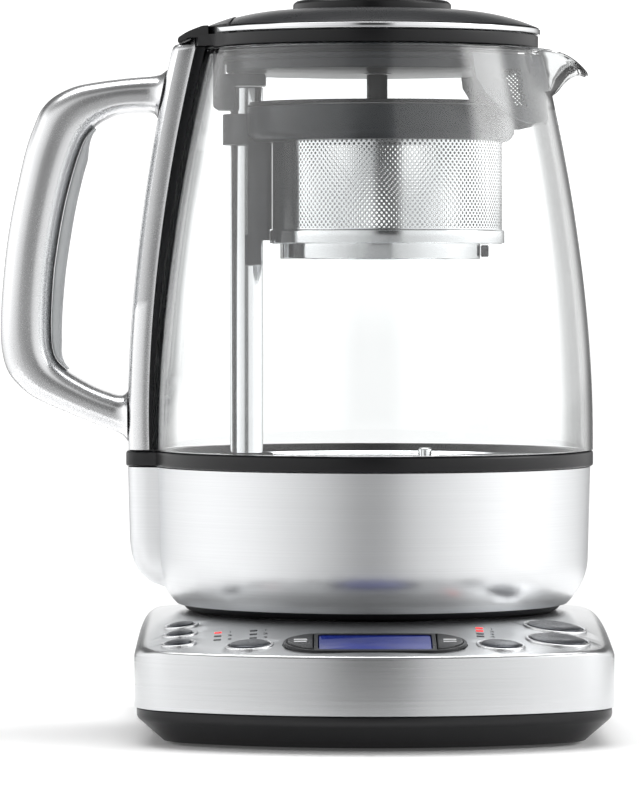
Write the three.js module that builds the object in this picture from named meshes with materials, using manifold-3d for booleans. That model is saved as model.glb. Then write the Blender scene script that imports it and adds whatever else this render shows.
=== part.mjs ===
// Automatic tea maker: a glass jug kettle with a tea basket that a motor lowers into the water, on an
// electric power base with a control panel. Millimetres, +Z up, spout towards +X, handle towards -X,
// controls towards -Y. The origin is under the middle of the whole object, on the table. Inside the
// group, places are given from the jug's axis.
import * as THREE from "three";
import { mergeVertices } from "three/addons/utils/BufferGeometryUtils.js";
import Module from "manifold-3d";

const wasm = await Module();
wasm.setup();

// Fits and facets
const seatGap = 0.35; // between pieces that seat on each other
const overrun = 2; // how far a cutting solid passes the surface it cuts
const roundSides = 40;
const glassSides = 48;
const midSides = 20;
const smallSides = 12;

// Power base
const baseHalfWidth = 82;
const baseFrontRadius = 126.5; // the bowed front is an arc about the jug's axis
const baseRearReach = 97;
const baseCornerRadius = 28;
const footProud = 1.2;
const tubChamferHeight = 8;
const tubChamferWidth = 10;
const tubInset = 0.8;
const tubWall = 2;
const tubLipRise = 3.5;
const seamHeight = 12.7; // lower edge of the steel shell
const seatHeight = 40.2; // flat top of the shell, where the jug stands
const seatMargin = 10; // from the flat seat to the base's straight sides
const panelFall = 0.14; // how steeply the shell's top falls away from the seat
const rearEaseShare = 0.5; // by which that fall is gentler straight behind
const shellWall = 1.6;
const shellFrontRound = 1.2;
const shellSideRound = 4.5;
const sideRoundEndShare = 0.66; // of the front radius, where the side's rounding starts to tighten
const frontRoundStartShare = 0.82; // and where the front's crisp edge is reached
const footRadius = 8;
const footPocketDepth = 1;
const footSideShare = 0.72; // of the half width
const footFrontShare = 0.62; // of the front radius
const footRearShare = 0.76; // of the rear reach

// Boards in the base
const boardThickness = 1.6;
const controlBoardHeight = 21.5; // underside
const controlBoardInset = 6;
const controlBoardRear = 52; // its back edge, in front of the jug's axis
const postRadius = 3;
const postPlaceShares = [[-0.62, 0.62], [0.62, 0.62], [-0.42, 0.84], [0.42, 0.84]];
const powerBoardLength = 100;
const powerBoardWidth = 44;
const powerBoardMargin = 19; // from its back edge to the back of the base
const powerBoardHeight = 7;
const relaySize = 15;

// Base connector and swivel collar
const connectorHole = 20;
const connectorFlange = 24;
const connectorFlangeDepth = 5;
const postRise = 12.8; // of the contact post above the seat
const contactPostRadius = 12;
const grooveOuter = 8;
const grooveInner = 5;
const grooveDepth = 5;
const pinHole = 2.5;
const pinHoleDepth = 7;
const plugClearance = 0.5; // between the two connectors, sideways
const plugDepthClearance = 0.7;
const collarOuter = 18;
const collarHeight = 4;

// Display and its two buttons
const displayDepthShare = 0.827; // of the way from the jug's axis to the front edge
const displayKeyGap = 4.5; // between the bezel and the round buttons beside it
const displayRadius = 14.2;
const displayThickness = 3.4;
const displayProud = 0.5;
const bezelRim = 1;
const endButtonRoom = 11.7; // from the screen to the bezel's end
const screenHalfWidth = 12;
const screenCorner = 1.5;
const screenSink = 0.3; // how far the glass lies below the bezel's face
const endButtonGap = 1.3; // bar between the screen and an end button
const endButtonRise = 0.9;

// Round buttons
const smallButtonRadius = 4.65;
const roundButtonRadius = 6.9;
const largeButtonRadius = 9.7;
const buttonRise = 0.9;
const buttonDome = 0.7;
const buttonDomeShares = [0, 0.6]; // of the button's radius
const buttonClearance = 0.3;
const buttonFlange = 1.3;
const buttonFlangeThickness = 1;
const buttonStem = 1.8;
const buttonTravel = 1;
const smallSideShare = -0.811; // of the half width
const smallDepthShares = [0.518, 0.684, 0.848]; // of the way to the front edge, straight ahead
const roundSideShare = 0.517;
const roundDepthShare = 0.86;
const largeSideShare = 0.762;
const largeDepthShares = [0.56, 0.79];

// Cord gland
const glandHeight = 23.2;
const glandRadius = 5;
const glandBore = 3.2;
const glandFlange = 6.6;
const glandDepth = 6;

// Jug foot and steel body
const jugFootRadius = 68.2;
const jugFootHoleRadius = 23.7;
const jugFootRim = 8;
const jugFootTaper = 2.2; // by which its foot is narrower at the seat
const jugFootThickness = 3;
const jugFootRecess = 1;
const bodyLift = 2.9; // lower edge of the steel above the seat
const bodyHeight = 48.6;
const bodyCurveHeight = 18; // the lower edge turns in over this height
const bodyInsetLow = 1.8; // inside the glass's radius where that curve starts
const bodyInsetTop = 1;
const bodyWall = 1.2;
const bodyCurvePower = 2.4;
const bodyOuterShares = [0, 0.07, 0.16, 0.26, 0.37, 0.5, 1]; // of the body's height
const bodyInnerShares = [0, 0.16, 0.37, 0.5, 1];
const lobeReach = 8.9; // of the lobe under the handle, past the round body
const lobeHalfWidth = 17;
const lobeCorner = 8;
const lobeCurveStart = 6.4; // of the lobe's lower curve, above the body's lower edge
const lobeCurveHeight = 17.5;

// Heater floor and what is under it
const floorClearance = 0.4; // to the wall seal, sideways
const floorLift = 0.6; // underside above the body's top edge
const floorThickness = 1.5;
const floorRimHeight = 1.2;
const floorRimWidth = 2.5;
const elementRadius = 29;
const elementHalfWidth = 3.2;
const elementRiseShare = 1.5; // of its half width
const probeRadius = 2.5;
const probeHead = 4;
const probePlaceX = 20;
const probePlaceY = 45;
const probeDepth = 10;
const probeRise = 3;

// Wall seal between steel and glass
const edgeGap = 0.3; // above and below the seal
const sealHeight = 5.5;
const sealWidth = 7;
const sealLobeReach = 8.6;

// Glass
const glassHeight = 142.2;
const glassFootHeight = 7.2; // upright part below the lean
const glassRadius = 78.9;
const rimRadius = 60.5;
const glassWall = 2.8;
const glassLeanPower = 1.8;
const spoutHalfAngle = 0.46; // radians
const spoutDepth = 16.5; // from the rim to the root of the lip
const spoutReach = 16.3; // of the lip's tip, past the rim
const spoutTipDrop = 8.8; // of the tip below the rim
const spoutDipPower = 3; // how much narrower the dip in the rim is than the lip itself
const outerWallShares = [0, 0.15, 0.36, 0.56, 0.75, 1]; // up the wall to the root of the spout
const innerWallShares = [0, 0.36, 0.68, 1];
// Stations from there to the rim: shares of the way up where the wall is round, and in the middle of
// the spout, of the way out and up to its tip
const outerLipShares = [
  [0.2, 0.17, 0.23], [0.4, 0.34, 0.58], [0.6, 0.575, 0.87], [0.8, 0.775, 0.96], [0.92, 0.92, 0.88],
  [1, 1, 1.06],
];
const innerLipShares = [
  [0.15, 0, 0.48], [0.35, 0.18, 0.83], [0.6, 0.48, 1.19], [0.85, 0.775, 1.31], [1, 0.935, 1.26],
];

// Spout filter
const filterWall = 1.4;
const filterGap = 0.45; // to the glass
const filterDrop = 3.5; // below the rim
const filterHeight = 23.5;
const filterHalfAngle = 0.95; // radians
const filterSteps = 40;
// Its lower edge: shares of the half angle, each with the share of the height that is cut away there
const filterEdgeShares = [[0, 0.18], [0.3, 0.06], [0.43, 0], [0.65, 0.01], [0.9, 0.31], [1, 0.64]];

// Pillar, motor, screw and magnet carrier
const pillarInset = 15.7; // from the glass's rim to the pillar's middle
const pillarRadius = 5.9;
const pillarWall = 0.6;
const pillarDrop = 13.4; // of its top below the rim
const pillarFlange = 9.5;
const pillarFlangeThickness = 2.5;
const pillarSealWidth = 3.2;
const pillarSealHeight = 2.4;
const motorRadius = 9;
const motorLength = 26;
const gearboxShare = 0.4; // of the motor's length, a little slimmer than the can
const gearboxInset = 1;
const screwRadius = 2;
const screwTopGap = 3;
const carrierRadius = 4.8;
const carrierBore = 2.4;
const carrierHeight = 14;

// Basket
const ringPastPillar = 0.2; // edge of the ring beyond the pillar's middle
const ringRadius = 47.9;
const ringDrop = 20.8; // of its top below the rim
const ringHeight = 12.2;
const ringTaper = 2.4; // of its lower edge
const ringWall = 1.2;
const ringFloor = 1.2;
const meshShift = 2.5; // of the perforated wall from the ring's middle, to the spout's side
const meshRadius = 41;
const meshWall = 0.6;
const meshLip = 1.6;
const meshDepth = 34.9; // below the ring
const bandThickness = 0.9;
const bandRise = 3.6; // above the lower edge of the perforated wall
const bandFall = 1.1; // and below it
const lowerRingInset = 5.3; // less than the perforated wall's radius
const lowerRingHeight = 5.6;
const lowerRingWall = 1.2;
const basketFloorThickness = 1;
const tabReach = 2.6;
const tabHalfWidth = 3.2;
const tabHeight = 4.2;
const collarClear = 0.45; // between bracket and pillar
const bracketRadius = 9.7;
const sleeveRadius = 8.6; // of the bracket's collar, where it passes the ring
const bracketDrop = 2.2; // of its collar below the top of the ring
const collarLength = 11;
const padFall = 2; // of the pad below the lower ring
const padHalfAngle = 0.36;
const padTurn = -1.25; // radians from +X, so it shows at the pillar's front
const padThickness = 2.2;
const legHalfAngle = 1.5;
const magnetThickness = 1;
const magnetInset = 2;
const basketLidInset = 0.5; // inside the ring's radius
const basketLidThickness = 1.35;
const stemShift = 1.1; // of the stem from the ring's middle, to the pillar's side
const stemRadius = 3.7;

// Spine and its liner
const spineFootGap = 0.4; // above the wall seal
const spineRise = 3.4; // of its top's inner edge, past the rim
const spineTopFall = 1.8; // from there to its outer edge
const spineTopRound = 2.5;
const linerRise = 0.4; // past the rim
const spineHalfWidth = 17;
const spineCorner = 5;
const spineGapLow = 1.9; // between glass and spine, filled by the liner
const spineGapTop = 4.4;
const spineReachLow = 7.6;
const spineReachTop = 10.6;

// Handle: points of its outer and inner edge in the XZ plane, as shares of the reach and the height
const handleReach = 132.5;
const handleFootLift = 4.6; // above the spine's foot
const handleDrop = 9; // below the rim
const handleHalfWidth = 12;
const handleStations = 22;
const handleRoundness = 0.8; // 1 is an oval section, 0 a square one
const outerEdgeShares = [
  [0.66, 0.992], [0.762, 0.978], [0.811, 0.965], [0.857, 0.94], [0.888, 0.908], [0.905, 0.872],
  [0.93, 0.8], [0.953, 0.7], [0.971, 0.61], [0.986, 0.507], [0.997, 0.38], [1, 0.29], [0.996, 0.235],
  [0.984, 0.187], [0.96, 0.15], [0.915, 0.11], [0.846, 0.076], [0.757, 0.038],
];
const innerEdgeShares = [
  [0.665, 0.894], [0.715, 0.877], [0.751, 0.852], [0.775, 0.82], [0.79, 0.782], [0.802, 0.745],
  [0.823, 0.665], [0.838, 0.59], [0.85, 0.515], [0.858, 0.45], [0.864, 0.36], [0.865, 0.29],
  [0.862, 0.245], [0.851, 0.212], [0.828, 0.187], [0.797, 0.165], [0.745, 0.136], [0.69, 0.115],
];
const upperArmDepth = 13.3; // height of the arm where it meets the spine
const lowerArmDepth = 14;
const gripThickness = 3.9;
const gripHalfWidth = 7;
const gripStartShare = 0.17; // of the way along the handle
const gripEndShare = 0.83;
const gripTaperShare = 0.12; // of the grip's length, over which it thins
const gripEndThicknessShare = 0.15;
const gripStations = 10;
const gripRoundness = 0.6;
const barSides = 12;

// Lid
const lidInset = 0.5; // inside the rim's radius
const lidSkirtInset = 8; // inside the lid's radius
const lidSkirtDepth = 8.4; // below the rim
const lidSkirtWall = 2.2;
const lidSkirtRise = 3.1; // above the rim
const lidSealThickness = 1.4;
const lidSealInset = 0.8;
const lidRingThickness = 1.9;
const lidRingWidth = 4;
const lidFloorThickness = 1.6;
const stemHoleRadius = 5.4;
const knobClearance = 0.4; // between knob and cap, sideways
const capRise = 6.3;
const capWall = 1.8;
const capCurvePower = 2.2;
const domeShares = [0, 0.35, 0.62, 0.83, 1]; // from the cap's inner edge to its rim
const knobRadius = 28.2;
const knobRise = 3.65; // above the cap
const knobDish = 0.9;
const knobSeatDrop = 1;
const tailReach = 8.9; // past the lid
const tailTipHalfWidth = 15.5;
const tailHalfWidth = 22.3; // where it crosses the steel ring
const tailRootHalfWidth = 30; // and where it ends on the dome
const tailRootInset = 1.3; // inside the lid's radius, there
const tailInset = 11.5; // inside the lid's radius, in its middle
const tailThickness = 2;
const tailProud = 0.4; // above the dome
const tailTopShares = [[1, 0], [0.6, 0.54], [0, 1]]; // of its reach, and of its rise from the tip
const guideThickness = 4.05;
const guideInnerInset = 3.05; // of its lower part inside the skirt's radius
const guideArmReach = 6.9; // past the pillar's middle
const guideClearance = 1.4; // above the bracket
const guideHalfWidth = 6.8;
const armThickness = 4.2;
const skirtClearance = 0.4; // of what ends just below the lid

// Worked out from the sizes above, from the seat up: body, seal, glass, then what hangs in the glass
const seatRadius = baseHalfWidth - seatMargin;
const displayHalfLength = roundSideShare * baseHalfWidth - roundButtonRadius - displayKeyGap;
const screenHalfLength = displayHalfLength - endButtonRoom;
const powerBoardRear = baseRearReach - powerBoardMargin - powerBoardWidth / 2; // its middle
const postTop = seatHeight + postRise;
const bodyBottom = seatHeight + bodyLift;
const bodyTop = bodyBottom + bodyHeight;
const bodyRadiusLow = glassRadius - bodyInsetLow;
const bodyRadiusTop = glassRadius - bodyInsetTop;
const lobeCurveBottom = bodyBottom + lobeCurveStart;
const lobeCurveTop = lobeCurveBottom + lobeCurveHeight;
const sealBottom = bodyTop + edgeGap;
const sealTop = sealBottom + sealHeight;
const sealInner = glassRadius - sealWidth;
const floorRadius = sealInner - floorClearance;
const floorHeight = bodyTop + floorLift;
const glassBottom = sealTop + edgeGap;
const glassTop = glassBottom + glassHeight;
const glassShoulder = glassBottom + glassFootHeight;
const spoutRoot = glassTop - spoutDepth;
const spoutTipRadius = rimRadius + spoutReach;
const spoutTipHeight = glassTop - spoutTipDrop;
const filterTop = glassTop - filterDrop;
const filterBottom = filterTop - filterHeight;
const pillarX = pillarInset - rimRadius;
const pillarTop = glassTop - pillarDrop;
const ringTop = glassTop - ringDrop;
const ringBottom = ringTop - ringHeight;
const meshBottom = ringBottom - meshDepth;
const bandRadius = meshRadius + bandThickness;
const bandTop = meshBottom + bandRise;
const bandBottom = meshBottom - bandFall;
const lowerRingRadius = meshRadius - lowerRingInset;
const lowerRingBottom = bandBottom - lowerRingHeight;
const basketFloorTop = meshBottom - seatGap;
const basketFloorBottom = basketFloorTop - basketFloorThickness;
const basketX = pillarX + ringRadius - ringPastPillar;
const meshX = basketX + meshShift;
const stemX = basketX - stemShift;
const basketLidRadius = ringRadius - basketLidInset;
const bracketTop = ringTop - bracketDrop;
const bracketBottom = bracketTop - collarLength;
const padBottom = lowerRingBottom - padFall;
const spineBottom = sealTop + spineFootGap;
const spineTop = glassTop + spineRise;
const spineShoulder = spineTop - spineTopFall - spineTopRound;
const linerTop = glassTop + linerRise;
const handleBottom = spineBottom + handleFootLift;
const handleTop = glassTop - handleDrop;
const lidRadius = rimRadius - lidInset;
const lidSkirtRadius = lidRadius - lidSkirtInset;
const lidSkirtBottom = glassTop - lidSkirtDepth;
const lidSkirtTop = glassTop + lidSkirtRise;
const lidSealBottom = glassTop + seatGap;
const lidSealTop = lidSkirtTop + seatGap + lidSealThickness;
const lidRingBottom = lidSealTop + seatGap;
const capEdge = lidRingBottom + lidRingThickness + seatGap;
const capInnerRadius = knobRadius + knobClearance;
const knobTop = capEdge + capRise + knobRise;
const stemTop = lidSkirtBottom - skirtClearance;
const armTop = lidSkirtBottom - skirtClearance;
const armBottom = armTop - armThickness;
const guideBottom = bracketTop + guideClearance;

// Finishes
const brushedSteel = { color: 0xb9bbbd, metalness: 1, roughness: 0.34 };
const polishedSteel = { color: 0xd6d8da, metalness: 1, roughness: 0.1 };
const satinMetal = { color: 0xcfd0d2, metalness: 1, roughness: 0.22 };
const blackPlastic = { color: 0x17181a, metalness: 0, roughness: 0.45 };
const darkPlastic = { color: 0x43484e, metalness: 0, roughness: 0.4 };
const slatePlastic = { color: 0x59626b, metalness: 0, roughness: 0.35 };
const palePlastic = { color: 0xc9cccd, metalness: 0, roughness: 0.4 };
const greyButton = { color: 0x6d7277, metalness: 0.3, roughness: 0.4 };
const blackRubber = { color: 0x1b1c1e, metalness: 0, roughness: 0.8 };
const clearGlass = { color: 0xdfeaec, metalness: 0, roughness: 0.03, transparent: true, opacity: 0.35 };
const displayGlass = { color: 0x2f6fd0, metalness: 0, roughness: 0.15 };
const boardGreen = { color: 0x1f5a3a, metalness: 0, roughness: 0.6 };
const magnetSteel = { color: 0x8c8f93, metalness: 1, roughness: 0.4 };

const zAxis = new THREE.Vector3(0, 0, 1);
const mix = (from, to, share) => from + (to - from) * share;
const clamp01 = (value) => Math.min(1, Math.max(0, value));

// The group's own shift puts the origin under the middle of the whole object.
const teaMaker = new THREE.Group();
teaMaker.position.set((handleReach - baseHalfWidth) / 2, (baseFrontRadius - baseRearReach) / 2, 0);

function piece(name, geometry, finish, parent = teaMaker) {
  const mesh = new THREE.Mesh(geometry, new THREE.MeshStandardMaterial(finish));
  mesh.name = name;
  parent.add(mesh);
  return mesh;
}

// Triangles over the ring that starts at a point's number: a fan about the ring's middle, or for a
// ring that is a bent strip, a ladder between its two long sides.
function fanEnd(count, start, points) {
  const ring = points.slice(start, start + count);
  const middle = points.length;
  points.push(ring.reduce((sum, p) => sum.add(p), new THREE.Vector3()).divideScalar(count));
  return ring.map((_, i) => [start + i, start + ((i + 1) % count), middle]);
}

function ladderEnd(count, start) {
  const rungs = Array.from({ length: count / 2 - 1 }, (_, i) => [i, i + 1, count - 2 - i, count - 1 - i]);
  return rungs.map((rung) => rung.map((k) => start + k))
    .flatMap(([a, b, c, d]) => [[a, b, c], [a, c, d]]);
}

// A closed skin over rings of as many points each, which run counter-clockwise seen from the end that
// the stack heads for. A stack that stops has a fan over each end; one that comes back has none.
function loft(rings, comesBack = false, endFaces = fanEnd) {
  const count = rings[0].length;
  const points = rings.flat();
  const index = [];
  const bands = comesBack ? rings.length : rings.length - 1;
  for (let k = 0; k < bands; k++) {
    const low = k * count;
    const high = ((k + 1) % rings.length) * count;
    for (let i = 0; i < count; i++) {
      const j = (i + 1) % count;
      index.push(low + i, low + j, high + j, low + i, high + j, high + i);
    }
  }
  if (!comesBack) {
    const lastStart = (rings.length - 1) * count;
    for (const [a, b, c] of endFaces(count, lastStart, points)) index.push(a, b, c);
    for (const [a, b, c] of endFaces(count, 0, points)) index.push(c, b, a);
  }
  const geometry = new THREE.BufferGeometry().setFromPoints(points).setIndex(index).toNonIndexed();
  geometry.computeVertexNormals();
  return geometry;
}

// A solid of revolution about Z from [radius, height] points, in either order.
function turned(outline, sides = roundSides) {
  const points = outline.map(([radius, height]) => new THREE.Vector2(radius, height));
  if (THREE.ShapeUtils.area(points) < 0) points.reverse();
  if (points[0].x > 0) points.push(points[0].clone());
  return new THREE.LatheGeometry(points, sides).rotateX(Math.PI / 2);
}

const disc = (radius, bottom, top, sides = midSides) =>
  turned([[0, bottom], [radius, bottom], [radius, top], [0, top]], sides);

const hoop = (inner, outer, bottom, top, sides = roundSides) =>
  turned([[inner, bottom], [outer, bottom], [outer, top], [inner, top]], sides);

// A flat outline, pulled up from one height to another.
function slab(points, bottom, top, holes = []) {
  const shape = new THREE.Shape(points);
  shape.holes = holes.map((hole) => new THREE.Path(hole));
  const geometry = new THREE.ExtrudeGeometry(shape, { depth: top - bottom, bevelEnabled: false });
  return geometry.translate(0, 0, bottom);
}

// An outline in the XZ plane, as deep as stated to either side of the middle.
const sideSlab = (points, halfDepth) => slab(points, -halfDepth, halfDepth).rotateX(Math.PI / 2);

function solidOf(geometry) {
  const bare = geometry.index ? geometry.toNonIndexed() : geometry.clone();
  bare.deleteAttribute("normal");
  bare.deleteAttribute("uv");
  const merged = mergeVertices(bare);
  const corners = merged.index.array;
  const triangles = [];
  for (let i = 0; i < corners.length; i += 3) {
    const [a, b, c] = corners.slice(i, i + 3);
    if (a !== b && b !== c && c !== a) triangles.push(a, b, c);
  }
  const vertProperties = merged.attributes.position.array;
  const triVerts = new Uint32Array(triangles);
  return new wasm.Manifold(new wasm.Mesh({ numProp: 3, vertProperties, triVerts }));
}

function geometryOf(solid) {
  const { vertProperties, triVerts } = solid.getMesh();
  const indexed = new THREE.BufferGeometry();
  indexed.setAttribute("position", new THREE.BufferAttribute(new Float32Array(vertProperties), 3));
  indexed.setIndex(new THREE.BufferAttribute(new Uint32Array(triVerts), 1));
  const geometry = indexed.toNonIndexed();
  geometry.computeVertexNormals();
  return geometry;
}

const cut = (stock, ...tools) =>
  geometryOf(tools.reduce((rest, tool) => rest.subtract(solidOf(tool)), solidOf(stock)));
const join = (...parts) =>
  geometryOf(parts.slice(1).reduce((whole, part) => whole.add(solidOf(part)), solidOf(parts[0])));
const common = (one, other) => geometryOf(solidOf(one).intersect(solidOf(other)));

const atAngle = (radius, angle, height) =>
  new THREE.Vector3(radius * Math.cos(angle), radius * Math.sin(angle), height);

function arcPoints(centreX, centreY, radius, from, to, steps) {
  return Array.from({ length: steps + 1 }, (_, i) => {
    const angle = mix(from, to, i / steps);
    return new THREE.Vector2(centreX + radius * Math.cos(angle), centreY + radius * Math.sin(angle));
  });
}

function linePoints(start, end, steps) {
  return Array.from({ length: steps - 1 }, (_, i) => start.clone().lerp(end, (i + 1) / steps));
}

// The base seen from above: an arc about the jug's axis in front, straight sides and back, and
// rounded corners. An inset moves every stretch in by the same distance.
function baseOutline(inset = 0) {
  const half = baseHalfWidth - inset;
  const corner = baseCornerRadius - inset;
  const front = baseFrontRadius - inset;
  const middleX = half - corner;
  const frontY = -Math.sqrt((front - corner) ** 2 - middleX ** 2);
  const rearY = baseRearReach - inset - corner;
  const turn = Math.atan2(-frontY, middleX);
  const quarter = Math.PI / 2;
  const frontRight = arcPoints(middleX, frontY, corner, -turn, 0, 4);
  const rearRight = arcPoints(middleX, rearY, corner, 0, quarter, 4);
  const rearLeft = arcPoints(-middleX, rearY, corner, quarter, Math.PI, 4);
  const frontLeft = arcPoints(-middleX, frontY, corner, Math.PI, Math.PI + turn, 4);
  return [
    ...arcPoints(0, 0, front, -quarter, -turn, 5).slice(0, -1),
    ...frontRight,
    ...linePoints(frontRight.at(-1), rearRight[0], 5),
    ...rearRight,
    ...linePoints(rearRight.at(-1), rearLeft[0], 4),
    ...rearLeft,
    ...linePoints(rearLeft.at(-1), frontLeft[0], 5),
    ...frontLeft,
    ...arcPoints(0, 0, front, Math.PI + turn, Math.PI + quarter, 5).slice(1, -1),
  ];
}

// The shell's top at a place on it: flat as far as the seat's edge, then falling away.
function panelHeight({ x, y }) {
  const radius = Math.hypot(x, y);
  const fall = panelFall * (1 - rearEaseShare * Math.max(0, y / radius));
  return seatHeight - fall * Math.max(0, radius - seatRadius);
}
const flatRing = (inset, height) => baseOutline(inset).map((p) => new THREE.Vector3(p.x, p.y, height));

// A place on the panel, and the way straight out of the panel there.
function panelPlace(sideShare, depthShare) {
  const x = sideShare * baseHalfWidth;
  const y = -depthShare * Math.sqrt(baseFrontRadius ** 2 - x ** 2);
  const radius = Math.hypot(x, y);
  const out = new THREE.Vector3((x / radius) * panelFall, (y / radius) * panelFall, 1).normalize();
  return { at: new THREE.Vector3(x, y, panelHeight({ x, y })), out };
}

function onPanel({ at, out }) {
  const frame = new THREE.Group();
  frame.position.copy(at);
  frame.quaternion.setFromUnitVectors(zAxis, out);
  frame.updateMatrix();
  return frame;
}

const roundButton = (name, radius, side, depth) => ({ name, radius, place: panelPlace(side, depth) });
const roundButtons = [
  ...smallDepthShares.map((depth, i) =>
    roundButton(`button_small_${i + 1}`, smallButtonRadius, smallSideShare, depth)),
  roundButton("button_round_left", roundButtonRadius, -roundSideShare, roundDepthShare),
  roundButton("button_round_right", roundButtonRadius, roundSideShare, roundDepthShare),
  ...largeDepthShares.map((depth, i) =>
    roundButton(`button_large_${i + 1}`, largeButtonRadius, largeSideShare, depth)),
];
const displayPlace = panelPlace(0, displayDepthShare);

const stadium = (halfLength, radius, steps = 8) => [
  ...arcPoints(halfLength - radius, 0, radius, -Math.PI / 2, Math.PI / 2, steps),
  ...arcPoints(radius - halfLength, 0, radius, Math.PI / 2, Math.PI * 1.5, steps),
];

function roundedBox(halfX, halfY, corner) {
  const quarter = Math.PI / 2;
  const corners = [[1, -1, -quarter], [1, 1, 0], [-1, 1, quarter], [-1, -1, Math.PI]];
  return corners.flatMap(([sideX, sideY, from]) =>
    arcPoints(sideX * (halfX - corner), sideY * (halfY - corner), corner, from, from + quarter, 3),
  );
}

// The end of the oval, past the screen: an end button or, grown a little, its opening.
function ovalEnd(side, grow) {
  const radius = displayRadius - bezelRim - seatGap + grow;
  const middle = displayHalfLength - displayRadius;
  const edge = screenHalfLength + endButtonGap + seatGap - grow;
  const half = Math.acos((edge - middle) / radius);
  const points = arcPoints(middle, 0, radius, -half, half, 10);
  return side > 0 ? points : points.map((p) => new THREE.Vector2(-p.x, p.y)).reverse();
}

// Power base
const glandY = baseRearReach - seatGap;

function baseShell() {
  const edge = baseOutline();
  const inward = baseOutline(1).map((p, i) => p.clone().sub(edge[i]));
  const rounds = edge.map((p) => {
    const forward = -p.y / baseFrontRadius - sideRoundEndShare;
    const share = clamp01(forward / (frontRoundStartShare - sideRoundEndShare));
    return mix(shellSideRound, shellFrontRound, share);
  });
  const ring = (insetOf, heightOf) => edge.map((p, i) => {
    const flat = p.clone().addScaledVector(inward[i], insetOf(rounds[i]));
    return new THREE.Vector3(flat.x, flat.y, heightOf(panelHeight(flat), rounds[i]));
  });
  const circle = (radius, height) => edge.map((p) => atAngle(radius, p.angle(), height));
  const roundTurns = [0, Math.PI / 4, Math.PI / 2];
  const skin = loft([
    ring(() => 0, () => seamHeight),
    ...roundTurns.map((turn) => ring(
      (round) => round * (1 - Math.cos(turn)),
      (level, round) => level - round * (1 - Math.sin(turn)),
    )),
    circle(seatRadius, seatHeight),
    circle(connectorHole, seatHeight),
    circle(connectorHole, seatHeight - shellWall),
    circle(seatRadius, seatHeight - shellWall),
    ring((round) => shellWall + round, (level) => level - shellWall),
    ring(() => shellWall, (level, round) => level - shellWall - round),
    ring(() => shellWall, () => seamHeight),
  ], true);
  const depth = shellWall + shellSideRound;
  const holes = roundButtons.map(({ radius, place }) =>
    disc(radius + buttonClearance, -depth, depth, smallSides).applyMatrix4(onPanel(place).matrix));
  const window = slab(stadium(displayHalfLength + seatGap, displayRadius + seatGap), -depth, depth);
  window.applyMatrix4(onPanel(displayPlace).matrix);
  const cordHole = disc(glandRadius + seatGap, -depth, depth, smallSides).rotateX(Math.PI / 2);
  cordHole.translate(0, baseRearReach, glandHeight);
  return cut(skin, ...holes, window, cordHole);
}

const tubFloor = footProud + tubWall;
const footPlaces = {
  foot_front_left: [-footSideShare * baseHalfWidth, -footFrontShare * baseFrontRadius],
  foot_front_right: [footSideShare * baseHalfWidth, -footFrontShare * baseFrontRadius],
  foot_rear_left: [-footSideShare * baseHalfWidth, footRearShare * baseRearReach],
  foot_rear_right: [footSideShare * baseHalfWidth, footRearShare * baseRearReach],
};

function baseTub() {
  const lip = shellWall + seatGap;
  const chamferTop = footProud + tubChamferHeight;
  const shell = loft([
    flatRing(tubChamferWidth, footProud),
    flatRing(tubInset, chamferTop),
    flatRing(tubInset, seamHeight - seatGap),
    flatRing(lip, seamHeight - seatGap),
    flatRing(lip, seamHeight + tubLipRise),
    flatRing(lip + tubWall, seamHeight + tubLipRise),
    flatRing(lip + tubWall, chamferTop + tubWall / 2),
    flatRing(tubChamferWidth + tubWall / 2, tubFloor),
  ]);
  const postBottom = tubFloor - tubWall / 2;
  const panelPosts = postPlaceShares.map(([side, depth]) =>
    disc(postRadius, postBottom, controlBoardHeight - seatGap, smallSides)
      .translate(side * baseHalfWidth, -depth * baseFrontRadius, 0));
  const sideX = powerBoardLength / 2 - postRadius;
  const sideY = powerBoardWidth / 2 - postRadius;
  const rearPosts = [[-sideX, -sideY], [sideX, -sideY], [-sideX, sideY], [sideX, sideY]].map(([x, y]) =>
    disc(postRadius, postBottom, powerBoardHeight - seatGap, smallSides)
      .translate(x, powerBoardRear + y, 0));
  const pockets = Object.values(footPlaces).map(([x, y]) =>
    disc(footRadius + seatGap, footProud - overrun, footProud + footPocketDepth, smallSides)
      .translate(x, y, 0));
  return cut(join(shell, ...panelPosts, ...rearPosts), ...pockets);
}

function controlBoard() {
  const top = controlBoardHeight + boardThickness;
  const whole = slab(baseOutline(controlBoardInset), controlBoardHeight, top);
  const front = new THREE.BoxGeometry(baseHalfWidth * 2, baseFrontRadius, seatHeight);
  front.translate(0, -controlBoardRear - baseFrontRadius / 2, top);
  return common(whole, front);
}

function powerBoard() {
  const plate = new THREE.BoxGeometry(powerBoardLength, powerBoardWidth, boardThickness);
  plate.translate(0, powerBoardRear, powerBoardHeight + boardThickness / 2);
  const relays = [-relaySize, relaySize].map((x) => new THREE.BoxGeometry(relaySize, relaySize, relaySize)
    .translate(x, powerBoardRear, powerBoardHeight + relaySize / 2));
  return join(plate, ...relays);
}

const collarBottom = seatHeight + seatGap;
const collarTop = collarBottom + collarHeight;

function baseConnector() {
  const flangeTop = seatHeight - shellWall - seatGap;
  const rim = connectorHole - seatGap;
  return turned([
    [0, flangeTop - connectorFlangeDepth],
    [connectorFlange, flangeTop - connectorFlangeDepth],
    [connectorFlange, flangeTop],
    [rim, flangeTop],
    [rim, seatHeight],
    [contactPostRadius, seatHeight],
    [contactPostRadius, postTop],
    [grooveOuter, postTop],
    [grooveOuter, postTop - grooveDepth],
    [grooveInner, postTop - grooveDepth],
    [grooveInner, postTop],
    [pinHole, postTop],
    [pinHole, postTop - pinHoleDepth],
    [0, postTop - pinHoleDepth],
  ], midSides);
}

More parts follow.
